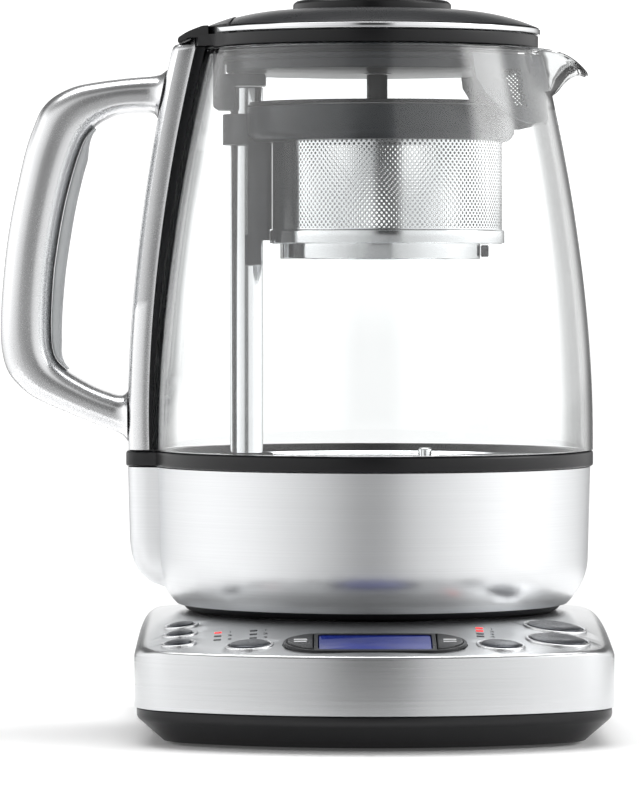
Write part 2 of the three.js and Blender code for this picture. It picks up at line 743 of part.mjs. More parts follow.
piece("base_shell", baseShell(), brushedSteel);
piece("base_tub", baseTub(), blackPlastic);
for (const [name, [x, y]] of Object.entries(footPlaces)) {
  const foot = disc(footRadius, 0, footProud + footPocketDepth - seatGap, smallSides);
  piece(name, foot, blackRubber).position.set(x, y, 0);
}
piece("control_board", controlBoard(), boardGreen);
piece("power_board", powerBoard(), boardGreen);
piece("base_connector", baseConnector(), blackPlastic);
const collar = hoop(contactPostRadius + seatGap, collarOuter, collarBottom, collarTop, midSides);
piece("swivel_collar", collar, darkPlastic);

const gland = turned([
  [glandBore, 0],
  [glandRadius, 0],
  [glandRadius, -shellWall - seatGap],
  [glandFlange, -shellWall - seatGap],
  [glandFlange, -glandDepth],
  [glandBore, -glandDepth],
], smallSides);
piece("cord_gland", gland.rotateX(-Math.PI / 2), blackRubber).position.set(0, glandY, glandHeight);

// A round button: a domed cap, a flange that stops it under the shell, and a stem to its switch.
function buttonShape(radius, place) {
  const switchTop = controlBoardHeight + boardThickness + buttonTravel + seatGap;
  const stemEnd = -(place.at.z - switchTop) / place.out.z;
  const flangeTop = -shellWall - seatGap;
  const dome = buttonDomeShares.map((share) =>
    [radius * share, buttonRise + buttonDome * (1 - share ** 2)]);
  return turned([
    ...dome,
    [radius, buttonRise],
    [radius, flangeTop],
    [radius + buttonFlange, flangeTop],
    [radius + buttonFlange, flangeTop - buttonFlangeThickness],
    [buttonStem, flangeTop - buttonFlangeThickness],
    [buttonStem, stemEnd],
    [0, stemEnd],
  ], smallSides);
}

for (const { name, radius, place } of roundButtons) {
  const frame = onPanel(place);
  teaMaker.add(frame);
  piece(name, buttonShape(radius, place), greyButton, frame);
}

const displayFrame = onPanel(displayPlace);
teaMaker.add(displayFrame);
const window = roundedBox(screenHalfLength, screenHalfWidth, screenCorner);
const bezelHoles = [window, ovalEnd(1, seatGap), ovalEnd(-1, seatGap)];
const bezelOutline = stadium(displayHalfLength, displayRadius);
const bezel = slab(bezelOutline, displayProud - displayThickness, displayProud, bezelHoles);
piece("display_bezel", bezel, darkPlastic, displayFrame);
const screenOutline = roundedBox(screenHalfLength - seatGap, screenHalfWidth - seatGap, screenCorner);
const screen = slab(screenOutline, displayProud - displayThickness, displayProud - screenSink);
piece("display_screen", screen, displayGlass, displayFrame);
for (const [name, side] of [["button_minus", -1], ["button_plus", 1]]) {
  const switchTop = controlBoardHeight + boardThickness + buttonTravel + seatGap;
  const stemEnd = -(displayPlace.at.z - switchTop) / displayPlace.out.z;
  const cap = slab(ovalEnd(side, 0), -displayThickness, endButtonRise);
  const stemPlace = side * (screenHalfLength + endButtonGap + displayHalfLength) / 2;
  const stem = disc(buttonStem, stemEnd, -displayThickness / 2, smallSides).translate(stemPlace, 0, 0);
  piece(name, join(cap, stem), greyButton, displayFrame);
}

// Jug: the round wall with a lobe at its back, seen from above. Angles run once round from the spout.
const lobeEdge = Math.asin(lobeHalfWidth / bodyRadiusTop);
const lobeShares = [0, 0.24, 0.47, 0.66, 0.82, 0.97]; // of the turn to the lobe's edge
const wallSteps = 18;
const halfTurn = [
  ...lobeShares.map((share) => Math.PI - share * lobeEdge),
  ...Array.from({ length: wallSteps }, (_, i) => (Math.PI - lobeEdge) * (1 - i / wallSteps)),
];
const jugAngles = [0, ...halfTurn.slice().reverse(), ...halfTurn.slice(1).map((turn) => -turn)];

// Distance from the axis to a rounded box that reaches back from it, in the direction of an angle.
function boxReach(angle, reach, halfWidth, corner) {
  const off = Math.abs(Math.abs(angle) - Math.PI);
  if (off > Math.PI / 3) return 0;
  const [along, across] = [Math.cos(off), Math.sin(off)];
  const [cornerX, cornerY] = [reach - corner, halfWidth - corner];
  if (across / along <= cornerY / reach) return reach / along;
  if (along / across <= cornerX / halfWidth) return halfWidth / across;
  const side = cornerX * across - cornerY * along;
  return cornerX * along + cornerY * across + Math.sqrt(corner ** 2 - side ** 2);
}

function lobedRing(radius, reach, halfWidth, height) {
  return jugAngles.map((angle) =>
    atAngle(Math.max(radius, boxReach(angle, radius + reach, halfWidth, lobeCorner)), angle, height));
}

const bodyFootRadius = jugFootRadius + seatGap + bodyWall;

function bodyRadius(height) {
  const curveTop = bodyBottom + bodyCurveHeight;
  const up = clamp01((height - bodyBottom) / bodyCurveHeight);
  const low = mix(bodyFootRadius, bodyRadiusLow, 1 - (1 - up) ** bodyCurvePower);
  return mix(low, bodyRadiusTop, clamp01((height - curveTop) / (bodyTop - curveTop)));
}

function lobeOut(height) {
  const up = clamp01((height - lobeCurveBottom) / (lobeCurveTop - lobeCurveBottom));
  return lobeReach * Math.sqrt(1 - (1 - up) ** 2);
}

function jugBody() {
  const heightAt = (share) => mix(bodyBottom, bodyTop, share);
  const outer = bodyOuterShares.map(heightAt).map((z) =>
    lobedRing(bodyRadius(z), lobeOut(z), lobeHalfWidth, z));
  const inner = bodyInnerShares.map(heightAt).map((z) =>
    lobedRing(bodyRadius(z) - bodyWall, lobeOut(z), lobeHalfWidth - bodyWall, z));
  return loft([...outer, ...inner.reverse()], true);
}

const footTop = seatHeight + seatGap + jugFootThickness + jugFootRecess;

function jugFoot() {
  const bottom = seatHeight + seatGap;
  return turned([
    [jugFootHoleRadius, bottom + jugFootRecess],
    [jugFootRadius - jugFootRim, bottom + jugFootRecess],
    [jugFootRadius - jugFootRim, bottom],
    [jugFootRadius - jugFootTaper, bottom],
    [jugFootRadius, footTop - jugFootRecess],
    [jugFootRadius, footTop],
    [jugFootHoleRadius, footTop],
  ]);
}

function jugConnector() {
  const bottom = Math.max(footTop, collarTop) + seatGap;
  const bore = contactPostRadius + plugDepthClearance;
  const roof = postTop + plugDepthClearance;
  const pin = pinHole - plugClearance;
  const pinEnd = postTop - pinHoleDepth + plugDepthClearance;
  const contactInner = grooveInner + plugClearance;
  const contactOuter = grooveOuter - plugClearance;
  const contactEnd = postTop - grooveDepth + plugDepthClearance;
  const flange = jugFootHoleRadius + jugFootThickness;
  return turned([
    [0, pinEnd],
    [pin, pinEnd],
    [pin, roof],
    [contactInner, roof],
    [contactInner, contactEnd],
    [contactOuter, contactEnd],
    [contactOuter, roof],
    [bore, roof],
    [bore, bottom],
    [flange, bottom],
    [flange, bottom + jugFootThickness],
    [bore + jugFootThickness, bottom + jugFootThickness],
    [bore + jugFootThickness, roof + jugFootThickness],
    [0, roof + jugFootThickness],
  ], midSides);
}

const floorTop = floorHeight + floorThickness;

function heaterPlate() {
  const rimTop = floorTop + floorRimHeight;
  const plate = turned([
    [0, floorHeight],
    [floorRadius, floorHeight],
    [floorRadius, rimTop],
    [floorRadius - floorRimWidth / 2, rimTop],
    [floorRadius - floorRimWidth, floorTop],
    [0, floorTop],
  ]);
  const low = floorHeight - overrun;
  const high = floorTop + overrun;
  const pillarHole = disc(pillarRadius + seatGap, low, high, midSides).translate(pillarX, 0, 0);
  const probeHole = disc(probeRadius + seatGap, low, high, smallSides);
  return cut(plate, pillarHole, probeHole.translate(probePlaceX, probePlaceY, 0));
}

piece("jug_foot", jugFoot(), blackPlastic);
piece("jug_body", jugBody(), brushedSteel);
piece("jug_connector", jugConnector(), blackPlastic);
piece("heater_plate", heaterPlate(), polishedSteel);

const elementTop = floorHeight - seatGap;
const elementRise = elementHalfWidth * elementRiseShare;
piece("heating_element", turned([
  [elementRadius - elementHalfWidth, elementTop],
  [elementRadius - elementHalfWidth, elementTop - elementHalfWidth],
  [elementRadius - elementHalfWidth / 2, elementTop - elementRise],
  [elementRadius + elementHalfWidth / 2, elementTop - elementRise],
  [elementRadius + elementHalfWidth, elementTop - elementHalfWidth],
  [elementRadius + elementHalfWidth, elementTop],
], midSides), magnetSteel);

const probe = turned([
  [0, floorHeight - probeDepth],
  [probeHead, floorHeight - probeDepth],
  [probeHead, floorHeight - seatGap],
  [probeRadius, floorHeight - seatGap],
  [probeRadius, floorTop + probeRise],
  [0, floorTop + probeRise],
], smallSides);
piece("temperature_probe", probe, polishedSteel).position.set(probePlaceX, probePlaceY, 0);

const sealRings = [
  lobedRing(glassRadius, sealLobeReach, lobeHalfWidth, sealBottom),
  lobedRing(glassRadius, sealLobeReach, lobeHalfWidth, sealTop),
  jugAngles.map((angle) => atAngle(sealInner, angle, sealTop)),
  jugAngles.map((angle) => atAngle(sealInner, angle, sealBottom)),
];
piece("wall_seal", loft(sealRings, true), blackPlastic);

// Glass: round, leaning in towards the rim, with a lip that turns out and down at the spout.
function glassOuter(height) {
  const up = clamp01((height - glassShoulder) / (glassTop - glassShoulder));
  return glassRadius - (glassRadius - rimRadius) * up ** glassLeanPower;
}

function jugGlass() {
  const angles = Array.from({ length: glassSides }, (_, i) => (i / glassSides) * Math.PI * 2);
  const pullAt = (angle) => {
    const off = Math.abs(Math.atan2(Math.sin(angle), Math.cos(angle))) / spoutHalfAngle;
    return off < 1 ? Math.cos((off * Math.PI) / 2) ** 2 : 0;
  };
  const wallRing = (share, wall) => {
    const height = mix(glassBottom, spoutRoot, share);
    return angles.map((angle) => atAngle(glassOuter(height) - wall, angle, height));
  };
  const lipRing = ([rise, out, up], wall) => angles.map((angle) => {
    const pull = pullAt(angle);
    const height = mix(spoutRoot, glassTop, rise);
    const reach = mix(glassOuter(spoutRoot), spoutTipRadius, out);
    const level = mix(height, mix(spoutRoot, spoutTipHeight, up), pull ** spoutDipPower);
    return atAngle(mix(glassOuter(height) - wall, reach, pull), angle, level);
  });
  const skin = (wallShares, lipShares, wall) =>
    [...wallShares.map((share) => wallRing(share, wall)), ...lipShares.map((each) => lipRing(each, wall))];
  const outside = skin(outerWallShares, outerLipShares, 0);
  const inside = skin(innerWallShares, innerLipShares, glassWall);
  return loft([...outside, ...inside.reverse()], true);
}
piece("jug_glass", jugGlass(), clearGlass);

// A value from a table of [place, value] pairs, between those that a place lies between.
function between(table, place) {
  const next = Math.max(1, table.findIndex(([start]) => start >= place));
  const [[fromPlace, from], [toPlace, to]] = [table[next - 1], table[next]];
  return mix(from, to, (place - fromPlace) / (toPlace - fromPlace));
}

function spoutFilter() {
  const face = (height) => glassOuter(height) - glassWall - filterGap;
  const rings = Array.from({ length: filterSteps + 1 }, (_, i) => {
    const turnShare = mix(-1, 1, i / filterSteps);
    const turn = turnShare * filterHalfAngle;
    const bottom = mix(filterBottom, filterTop, between(filterEdgeShares, Math.abs(turnShare)));
    return [
      atAngle(face(bottom) - filterWall, turn, bottom),
      atAngle(face(filterTop) - filterWall, turn, filterTop),
      atAngle(face(filterTop), turn, filterTop),
      atAngle(face(bottom), turn, bottom),
    ];
  });
  return loft(rings);
}
piece("spout_filter", spoutFilter(), slatePlastic);

// Pillar: a closed steel tube through the floor, clamped below it, with the drive inside.
const pillarBottom = floorHeight - seatGap - pillarFlangeThickness;
const pillarBore = pillarRadius - pillarWall;
const pillar = turned([
  [pillarBore, pillarBottom],
  [pillarFlange, pillarBottom],
  [pillarFlange, floorHeight - seatGap],
  [pillarRadius, floorHeight - seatGap],
  [pillarRadius, pillarTop],
  [0, pillarTop],
  [0, pillarTop - pillarWall],
  [pillarBore, pillarTop - pillarWall],
], midSides);
piece("pillar", pillar, polishedSteel).position.setX(pillarX);
const pillarSeal = hoop(
  pillarRadius + seatGap, pillarRadius + seatGap + pillarSealWidth,
  floorTop + seatGap, floorTop + seatGap + pillarSealHeight, midSides,
);
piece("pillar_seal", pillarSeal, blackRubber).position.setX(pillarX);

const motorTop = pillarBottom - seatGap;
const gearboxBottom = motorTop - motorLength * gearboxShare;
const motor = turned([
  [0, motorTop - motorLength],
  [motorRadius, motorTop - motorLength],
  [motorRadius, gearboxBottom],
  [motorRadius - gearboxInset, gearboxBottom],
  [motorRadius - gearboxInset, motorTop],
  [0, motorTop],
], midSides);
piece("lift_motor", motor, magnetSteel).position.setX(pillarX);
const screwTop = pillarTop - pillarWall - screwTopGap;
const screw = disc(screwRadius, pillarBottom, screwTop, smallSides);
piece("lead_screw", screw, magnetSteel).position.setX(pillarX);
const carrierMiddle = (bracketTop + bracketBottom) / 2;
const carrier = hoop(
  carrierBore, carrierRadius,
  carrierMiddle - carrierHeight / 2, carrierMiddle + carrierHeight / 2, smallSides,
);
piece("magnet_carrier", carrier, magnetSteel).position.setX(pillarX);

// Basket
const bracketBore = pillarRadius + collarClear;

function basketRing() {
  const inner = ringRadius - ringWall;
  const cup = turned([
    [0, ringBottom],
    [ringRadius - ringTaper, ringBottom],
    [ringRadius, ringBottom + ringTaper],
    [ringRadius, ringTop],
    [inner, ringTop],
    [inner, ringBottom + ringFloor + ringWall],
    [inner - ringWall, ringBottom + ringFloor],
    [0, ringBottom + ringFloor],
  ]).translate(basketX, 0, 0);
  const low = ringBottom - overrun;
  const high = ringTop + overrun;
  const well = disc(meshRadius + seatGap, low, high, roundSides).translate(meshX, 0, 0);
  const notch = disc(sleeveRadius + seatGap, low, high, midSides).translate(pillarX, 0, 0);
  return cut(cup, well, notch);
}

function basketWall() {
  const lipBottom = ringBottom + ringFloor + seatGap;
  const inner = meshRadius - meshWall;
  const wall = turned([
    [inner, meshBottom],
    [meshRadius, meshBottom],
    [meshRadius, lipBottom],
    [meshRadius + meshLip, lipBottom],
    [meshRadius + meshLip, lipBottom + meshWall],
    [inner, lipBottom + meshWall],
  ]).translate(meshX, 0, 0);
  const clear = disc(bracketRadius + seatGap, meshBottom - overrun, ringTop + overrun, midSides);
  return cut(wall, clear.translate(pillarX, 0, 0));
}

function basketFloor() {
  const plate = disc(meshRadius, basketFloorBottom, basketFloorTop, roundSides).translate(meshX, 0, 0);
  const plateMiddle = (basketFloorBottom + basketFloorTop) / 2;
  const inner = lowerRingRadius - lowerRingWall;
  const lowerRing = hoop(inner, lowerRingRadius, lowerRingBottom, plateMiddle);
  return join(plate, lowerRing.translate(basketX, 0, 0));
}

// A stretch of a ring about the pillar, from one angle to another.
function ringPart(inner, outer, bottom, top, from, to, steps) {
  const rings = Array.from({ length: steps + 1 }, (_, i) => {
    const turn = mix(from, to, i / steps);
    return [[inner, bottom], [inner, top], [outer, top], [outer, bottom]].map(([radius, height]) =>
      atAngle(radius, turn, height));
  });
  return loft(rings);
}

// The bracket: a collar that slides on the pillar, a leg that hugs the pillar's inner side down to
// the basket's band, and below it a slim pad. The collar has a groove for the magnet.
function basketBracket() {
  const grooveOut = sleeveRadius - magnetInset / 2;
  const collarRing = turned([
    [bracketBore, bracketBottom],
    [sleeveRadius, bracketBottom],
    [sleeveRadius, bracketTop],
    [bracketBore, bracketTop],
    [bracketBore, bracketTop - magnetInset],
    [grooveOut, bracketTop - magnetInset],
    [grooveOut, bracketBottom + magnetInset],
    [bracketBore, bracketBottom + magnetInset],
  ], midSides);
  const legTop = ringBottom - seatGap;
  const leg = ringPart(
    bracketBore, bracketRadius, meshBottom, legTop, -legHalfAngle, legHalfAngle, 8,
  );
  const pads = [padTurn, -padTurn].map((middle) => ringPart(
    bracketBore, bracketBore + padThickness, padBottom, meshBottom + magnetInset,
    middle - padHalfAngle, middle + padHalfAngle, 3,
  ));
  const whole = join(collarRing, leg, ...pads);
  const wallClear = disc(meshRadius + seatGap, meshBottom - overrun, ringBottom - seatGap, roundSides);
  const bandClear = disc(bandRadius + seatGap, padBottom - overrun, bandTop + seatGap, roundSides);
  const shift = meshX - pillarX;
  return cut(whole, wallClear.translate(shift, 0, 0), bandClear.translate(shift, 0, 0));
}

piece("basket_ring", basketRing(), slatePlastic);
piece("basket_wall", basketWall(), brushedSteel);
piece("basket_floor", basketFloor(), brushedSteel);
const basketBand = hoop(meshRadius + seatGap, bandRadius, bandBottom, bandTop);
piece("basket_band", basketBand, brushedSteel).position.setX(meshX);
piece("basket_bracket", basketBracket(), slatePlastic).position.setX(pillarX);
const tabInner = lowerRingRadius + seatGap;
const basketTab = new THREE.BoxGeometry(tabReach, tabHalfWidth * 2, tabHeight);
basketTab.translate(tabInner + tabReach / 2, 0, basketFloorBottom - seatGap - tabHeight / 2);
piece("basket_tab", basketTab, slatePlastic).position.setX(basketX);
const magnetOuter = bracketBore + magnetThickness;
const magnetHoop = hoop(
  bracketBore + seatGap / 2, magnetOuter,
  bracketBottom + magnetInset + seatGap, bracketTop - magnetInset - seatGap, midSides,
);
piece("bracket_magnet", magnetHoop, magnetSteel).position.setX(pillarX);

function basketLid() {
  const bottom = ringTop + seatGap;
  const top = bottom + basketLidThickness;
  const plate = disc(basketLidRadius, bottom, top, roundSides).translate(basketX, 0, 0);
  const notch = disc(bracketRadius + seatGap, bottom - overrun, top + overrun, midSides);
  const stemHole = disc(stemRadius / 2 + seatGap, bottom - overrun, top + overrun, smallSides);
  return cut(plate, notch.translate(pillarX, 0, 0), stemHole.translate(stemX, 0, 0));
}

function lidStem() {
  const plateBottom = ringTop + seatGap;
  const plateTop = plateBottom + basketLidThickness;
  return turned([
    [0, plateBottom],
    [stemRadius / 2, plateBottom],
    [stemRadius / 2, plateTop + seatGap],
    [stemRadius, plateTop + seatGap],
    [stemRadius, stemTop],
    [0, stemTop],
  ], smallSides);
}
piece("basket_lid", basketLid(), darkPlastic);
piece("basket_lid_stem", lidStem(), blackPlastic).position.setX(stemX);

// Spine: a satin column behind the glass, on a dark liner.
const upSpine = (height) => clamp01((height - spineBottom) / (spineTop - spineBottom));
const spineInner = (height) => glassOuter(height) + mix(spineGapLow, spineGapTop, upSpine(height));
const spineOuter = (height) => glassOuter(height) + mix(spineReachLow, spineReachTop, upSpine(height));
const spineHeightShares = [0, 0.15, 0.33, 0.5, 0.66, 0.8, 0.91, 1];
const spineTurnShares = [-0.98, -0.9, -0.76, -0.55, -0.28, 0, 0.28, 0.55, 0.76, 0.9, 0.98];

function spineRing(height, innerRadius, outerAt, halfWidth, fall = 0) {
  const half = Math.asin(halfWidth / innerRadius);
  const turns = spineTurnShares.map((share) => Math.PI + share * half);
  const front = turns.map((turn) => atAngle(outerAt(turn), turn, height - fall));
  const back = turns.toReversed().map((turn) => atAngle(innerRadius, turn, height));
  return [...front, ...back];
}

// The spine's top slants down to its outer edge, which is rounded off.
function spine() {
  const ringAt = (height, inset, fall) => {
    const inner = spineInner(height);
    const face = (angle) => boxReach(angle, spineOuter(height), spineHalfWidth, spineCorner) - inset;
    return spineRing(height, inner, (angle) => Math.max(inner + seatGap, face(angle)), spineHalfWidth, fall);
  };
  const rings = spineHeightShares.map((share) => ringAt(mix(spineBottom, spineShoulder, share), 0, 0));
  return loft([...rings, ringAt(spineTop, spineTopRound, spineTopFall)], false, ladderEnd);
}

function spineLiner() {
  const rings = spineHeightShares.map((share) => mix(spineBottom, linerTop, share)).map((height) => {
    const outer = spineInner(height) - seatGap;
    return spineRing(height, glassOuter(height) + seatGap, () => outer, spineHalfWidth - spineCorner / 2);
  });
  return loft(rings, false, ladderEnd);
}
piece("spine", spine(), satinMetal);
piece("spine_liner", spineLiner(), darkPlastic);

// Handle: rounded sections between its outer and its inner edge, which start and end at the spine.
const spineFace = (height) => -spineOuter(height) - seatGap;

function handleEdge(shares, startHeight, endHeight) {
  const points = shares.map(([out, up]) =>
    new THREE.Vector3(-out * handleReach, 0, mix(handleBottom, handleTop, up)));
  const start = new THREE.Vector3(spineFace(startHeight), 0, startHeight);
  const end = new THREE.Vector3(spineFace(endHeight), 0, endHeight);
  return new THREE.CatmullRomCurve3([start, ...points, end], false, "centripetal");
}
const outerEdge = handleEdge(outerEdgeShares, handleTop, handleBottom);
const innerEdge = handleEdge(innerEdgeShares, handleTop - upperArmDepth, handleBottom + lowerArmDepth);

// Sections of a bar between two edges, square in the corners as far as the power says.
function barRings(edgeOut, edgeIn, shares, halfWidth, power) {
  return shares.map((share) => {
    const out = edgeOut(share);
    const back = edgeIn(share);
    const middle = out.clone().lerp(back, 1 / 2);
    return Array.from({ length: barSides }, (_, i) => {
      const turn = (i / barSides) * Math.PI * 2;
      const [along, across] = [Math.cos(turn), Math.sin(turn)];
      const soft = (value) => Math.sign(value) * Math.abs(value) ** power;
      const point = middle.clone().lerp(out, soft(along));
      point.y += halfWidth * soft(across);
      return point;
    });
  });
}

const curveAt = (curve) => (share) => curve.getPoint(share);
const evenShares = (steps) => Array.from({ length: steps + 1 }, (_, i) => i / steps);
const handleRings = barRings(
  curveAt(outerEdge), curveAt(innerEdge), evenShares(handleStations), handleHalfWidth, handleRoundness,
);
piece("handle", loft(handleRings), satinMetal);

// Grip insert: a strip along the inner edge, thinner at its ends.
function gripPoint(share, lift) {
  const along = mix(gripStartShare, gripEndShare, share);
  const inward = outerEdge.getPoint(along).sub(innerEdge.getPoint(along)).normalize();
  return innerEdge.getPoint(along).addScaledVector(inward, -lift);
}
const gripDepth = (share) => {
  const fromEnd = Math.min(share, 1 - share);
  return seatGap + gripThickness * mix(gripEndThicknessShare, 1, clamp01(fromEnd / gripTaperShare));
};
const gripRings = barRings(
  (share) => gripPoint(share, seatGap), (share) => gripPoint(share, gripDepth(share)),
  evenShares(gripStations), gripHalfWidth, gripRoundness,
);
piece("grip_insert", loft(gripRings), palePlastic);

// Lid
const skirtInner = lidSkirtRadius - lidSkirtWall;

const lidSkirt = hoop(skirtInner, lidSkirtRadius, lidSkirtBottom, lidSkirtTop);
piece("lid_skirt", lidSkirt, slatePlastic);
const lidFloorTop = lidSkirtBottom + lidFloorThickness;
const lidFloor = disc(skirtInner - seatGap, lidSkirtBottom, lidFloorTop, roundSides);
const stemHole = disc(stemHoleRadius, lidSkirtBottom - overrun, lidFloorTop + overrun);
piece("lid_floor", cut(lidFloor, stemHole.translate(stemX, 0, 0)), slatePlastic);

const dome = domeShares.map((share) => [
  mix(capInnerRadius, lidRadius - seatGap, share),
  capEdge + capRise * (1 - share ** capCurvePower),
]);

// An outline with each of its sides moved out.
function grown(points, by) {
  return points.map((point, i) => {
    const before = point.clone().sub(points.at(i - 1)).normalize();
    const after = points[(i + 1) % points.length].clone().sub(point).normalize();
    const along = before.clone().add(after).normalize();
    const out = new THREE.Vector2(along.y, -along.x);
    return point.clone().addScaledVector(out, by / along.dot(before));
  });
}

// The tail seen from above: narrow at its tip over the spine, and wider where it lies on the dome.
function tailPlan() {
  const tipX = lidRadius + tailReach;
  const ringX = Math.sqrt(lidRadius ** 2 - tailHalfWidth ** 2);
  const rootX = Math.sqrt((lidRadius - tailRootInset) ** 2 - tailRootHalfWidth ** 2);
  const side = [
    [-tipX, tailTipHalfWidth], [-ringX, tailHalfWidth], [-rootX, tailRootHalfWidth],
  ].map(([x, y]) => new THREE.Vector2(x, y));
  const middle = new THREE.Vector2(tailInset - lidRadius, 0);
  return [...side.map((p) => new THREE.Vector2(p.x, -p.y)), middle, ...side.toReversed()];
}

// The black seal sits on the rim and covers the skirt. Its tail reaches over the top of the spine, has a
// root that hangs down inside it, and lies on the dome at its other end.
function lidSeal() {
  const ring = turned([
    [skirtInner, lidSkirtTop + seatGap],
    [lidSkirtRadius + seatGap, lidSkirtTop + seatGap],
    [lidSkirtRadius + seatGap, lidSealBottom],
    [lidRadius - lidSealInset, lidSealBottom],
    [lidRadius - lidSealInset, lidSealTop],
    [skirtInner, lidSealTop],
  ]);
  const sealMiddle = lidSealTop - lidSealThickness / 2;
  const onDome = turned([
    [0, sealMiddle], [lidRadius, sealMiddle], [lidRadius, capEdge + tailProud],
    ...dome.toReversed().map(([radius, height]) => [radius, height + tailProud]),
    [0, capEdge + capRise + tailProud],
  ]);
  const root = lidRadius - lidRingWidth / 2;
  const rim = rimRadius + seatGap;
  const inner = spineInner(spineTop);
  const tailBottom = spineTop + seatGap;
  const tailMiddle = tailBottom + tailThickness / 2;
  const hanging = turned([
    [root, lidSealBottom], [rim, lidSealBottom], [rim, linerTop + seatGap],
    [inner - seatGap, linerTop + seatGap], [inner - seatGap, tailMiddle], [root, tailMiddle],
  ]);
  const tip = lidRadius + tailReach;
  const slope = spineTopFall / (spineOuter(spineTop) - spineTopRound - inner);
  const tipBottom = tailBottom - slope * (tip - inner);
  const tipTop = tipBottom + tailThickness;
  const top = tailTopShares.map(([reach, rise]) =>
    [-lidRadius - reach * tailReach, mix(tipTop, capEdge + tailProud, rise)]);
  const outline = [
    [-root, tailBottom], [-inner, tailBottom], [-tip, tipBottom], ...top, [-root, capEdge + tailProud],
  ].map(([x, z]) => new THREE.Vector2(x, z)).reverse();
  const whole = join(sideSlab(outline, tailRootHalfWidth), onDome, hanging);
  const tail = common(whole, slab(tailPlan(), lidSealBottom - overrun, knobTop));
  return join(ring, tail);
}
piece("lid_seal", lidSeal(), blackPlastic);
const tailRoom = slab(grown(tailPlan(), seatGap), lidSealBottom - overrun, knobTop);
const lidRing = hoop(lidRadius - lidRingWidth, lidRadius, lidRingBottom, lidRingBottom + lidRingThickness);
piece("lid_ring", cut(lidRing, tailRoom), polishedSteel);

function lidCap() {
  const lowered = ([radius, height]) => [radius, Math.max(capEdge, height - capWall)];
  const under = [dome[0], dome[2], dome[3]].map(lowered);
  const seat = dome[0][1] - knobSeatDrop;
  const whole = turned([
    [0, seat],
    [capInnerRadius, seat],
    ...dome,
    ...under.reverse(),
    [0, seat - capWall],
  ]);
  return cut(whole, tailRoom);
}
piece("lid_cap", lidCap(), darkPlastic);

const knobBottom = capEdge + capRise - knobSeatDrop + seatGap;
piece("lid_knob", turned([
  [0, knobBottom],
  [knobRadius, knobBottom],
  [knobRadius, knobTop - knobDish],
  [knobRadius - knobDish, knobTop],
  [knobRadius - knobDish * 3, knobTop],
  [knobRadius / 2, knobTop - knobDish],
  [0, knobTop - knobDish],
]), blackPlastic);

// Post guide: a block beside the skirt with an arm that covers the top of the pillar.
const armEnd = pillarX + guideArmReach;
const guideRight = -lidSkirtRadius - seatGap;
const guideLeft = guideRight - guideThickness;
const guideInner = guideInnerInset - lidSkirtRadius;
const guideOutline = [
  [guideLeft, glassTop], [guideLeft, guideBottom], [guideInner, guideBottom],
  [guideInner, armBottom], [armEnd, armBottom], [armEnd, armTop],
  [guideRight, armTop], [guideRight, glassTop],
].map(([x, z]) => new THREE.Vector2(x, z));
const pillarClear = disc(bracketBore, guideBottom - overrun, armBottom, midSides).translate(pillarX, 0, 0);
piece("post_guide", cut(sideSlab(guideOutline, guideHalfWidth), pillarClear), slatePlastic);

export default teaMaker;
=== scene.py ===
# Automatic tea maker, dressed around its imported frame. Lengths are millimetres from the jug's axis,
# with +X towards the spout and -Y towards the controls, and become the frame's metres in settle().
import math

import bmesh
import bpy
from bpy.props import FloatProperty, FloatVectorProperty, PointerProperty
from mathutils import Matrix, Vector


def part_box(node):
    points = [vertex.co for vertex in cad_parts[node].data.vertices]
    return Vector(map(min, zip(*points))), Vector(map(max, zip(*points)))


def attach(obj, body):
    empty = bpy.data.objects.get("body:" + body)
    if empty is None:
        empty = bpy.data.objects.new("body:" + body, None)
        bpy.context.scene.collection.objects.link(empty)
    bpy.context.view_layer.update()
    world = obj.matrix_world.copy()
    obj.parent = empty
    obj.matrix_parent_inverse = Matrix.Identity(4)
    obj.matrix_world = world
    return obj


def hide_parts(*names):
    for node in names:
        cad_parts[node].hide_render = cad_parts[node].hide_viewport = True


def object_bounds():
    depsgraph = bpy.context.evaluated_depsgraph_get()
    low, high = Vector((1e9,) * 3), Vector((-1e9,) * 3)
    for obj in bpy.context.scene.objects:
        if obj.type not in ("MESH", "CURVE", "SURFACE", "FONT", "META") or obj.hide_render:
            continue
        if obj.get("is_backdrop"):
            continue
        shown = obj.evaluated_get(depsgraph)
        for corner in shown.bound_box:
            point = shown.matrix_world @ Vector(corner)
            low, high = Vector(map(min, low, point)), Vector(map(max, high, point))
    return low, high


bl_info = {
    "name": "Automatic Tea Maker",
    "version": (1, 0, 0),
    "blender": (4, 5, 0),
    "location": "3D View > Sidebar > Tea Maker",
    "description": "Models and finishes a glass tea maker around its packed frame",
    "category": "Object",
}

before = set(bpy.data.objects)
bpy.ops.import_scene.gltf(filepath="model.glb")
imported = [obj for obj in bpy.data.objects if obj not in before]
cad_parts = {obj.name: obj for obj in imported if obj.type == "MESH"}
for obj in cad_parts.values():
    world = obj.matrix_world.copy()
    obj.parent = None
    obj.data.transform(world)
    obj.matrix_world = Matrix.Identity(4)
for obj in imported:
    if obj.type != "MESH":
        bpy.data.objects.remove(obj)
CAD_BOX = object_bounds()

MM = 0.001
TURN = math.tau
HALF_TURN = math.pi
QUARTER = math.pi / 2
JUG_AXIS = (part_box("lid_knob")[0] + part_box("lid_knob")[1]) / 2
JUG_AXIS.z = 0.0

# Clearances, how far a cutting tool runs past a face, and counts of steps on round stretches
SEAT_GAP = 0.35
SLIDE_GAP = 0.45
OVERRUN = 2.0
ROUND_STEPS = 128
TUBE_STEPS = 64
SMALL_STEPS = 48
THIN_STEPS = 32
JUG_STEPS = 240
FILLET_STEPS = 4
CORNER_STEPS = 6
OVAL_STEPS = 24


def span(node):
    """A node's lowest and highest corner, in millimetres from the jug's axis."""
    low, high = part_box(node)
    return (low - JUG_AXIS) / MM, (high - JUG_AXIS) / MM


def middle(node):
    low, high = span(node)
    return (low + high) / 2


def mix(start, end, share):
    return start + (end - start) * share


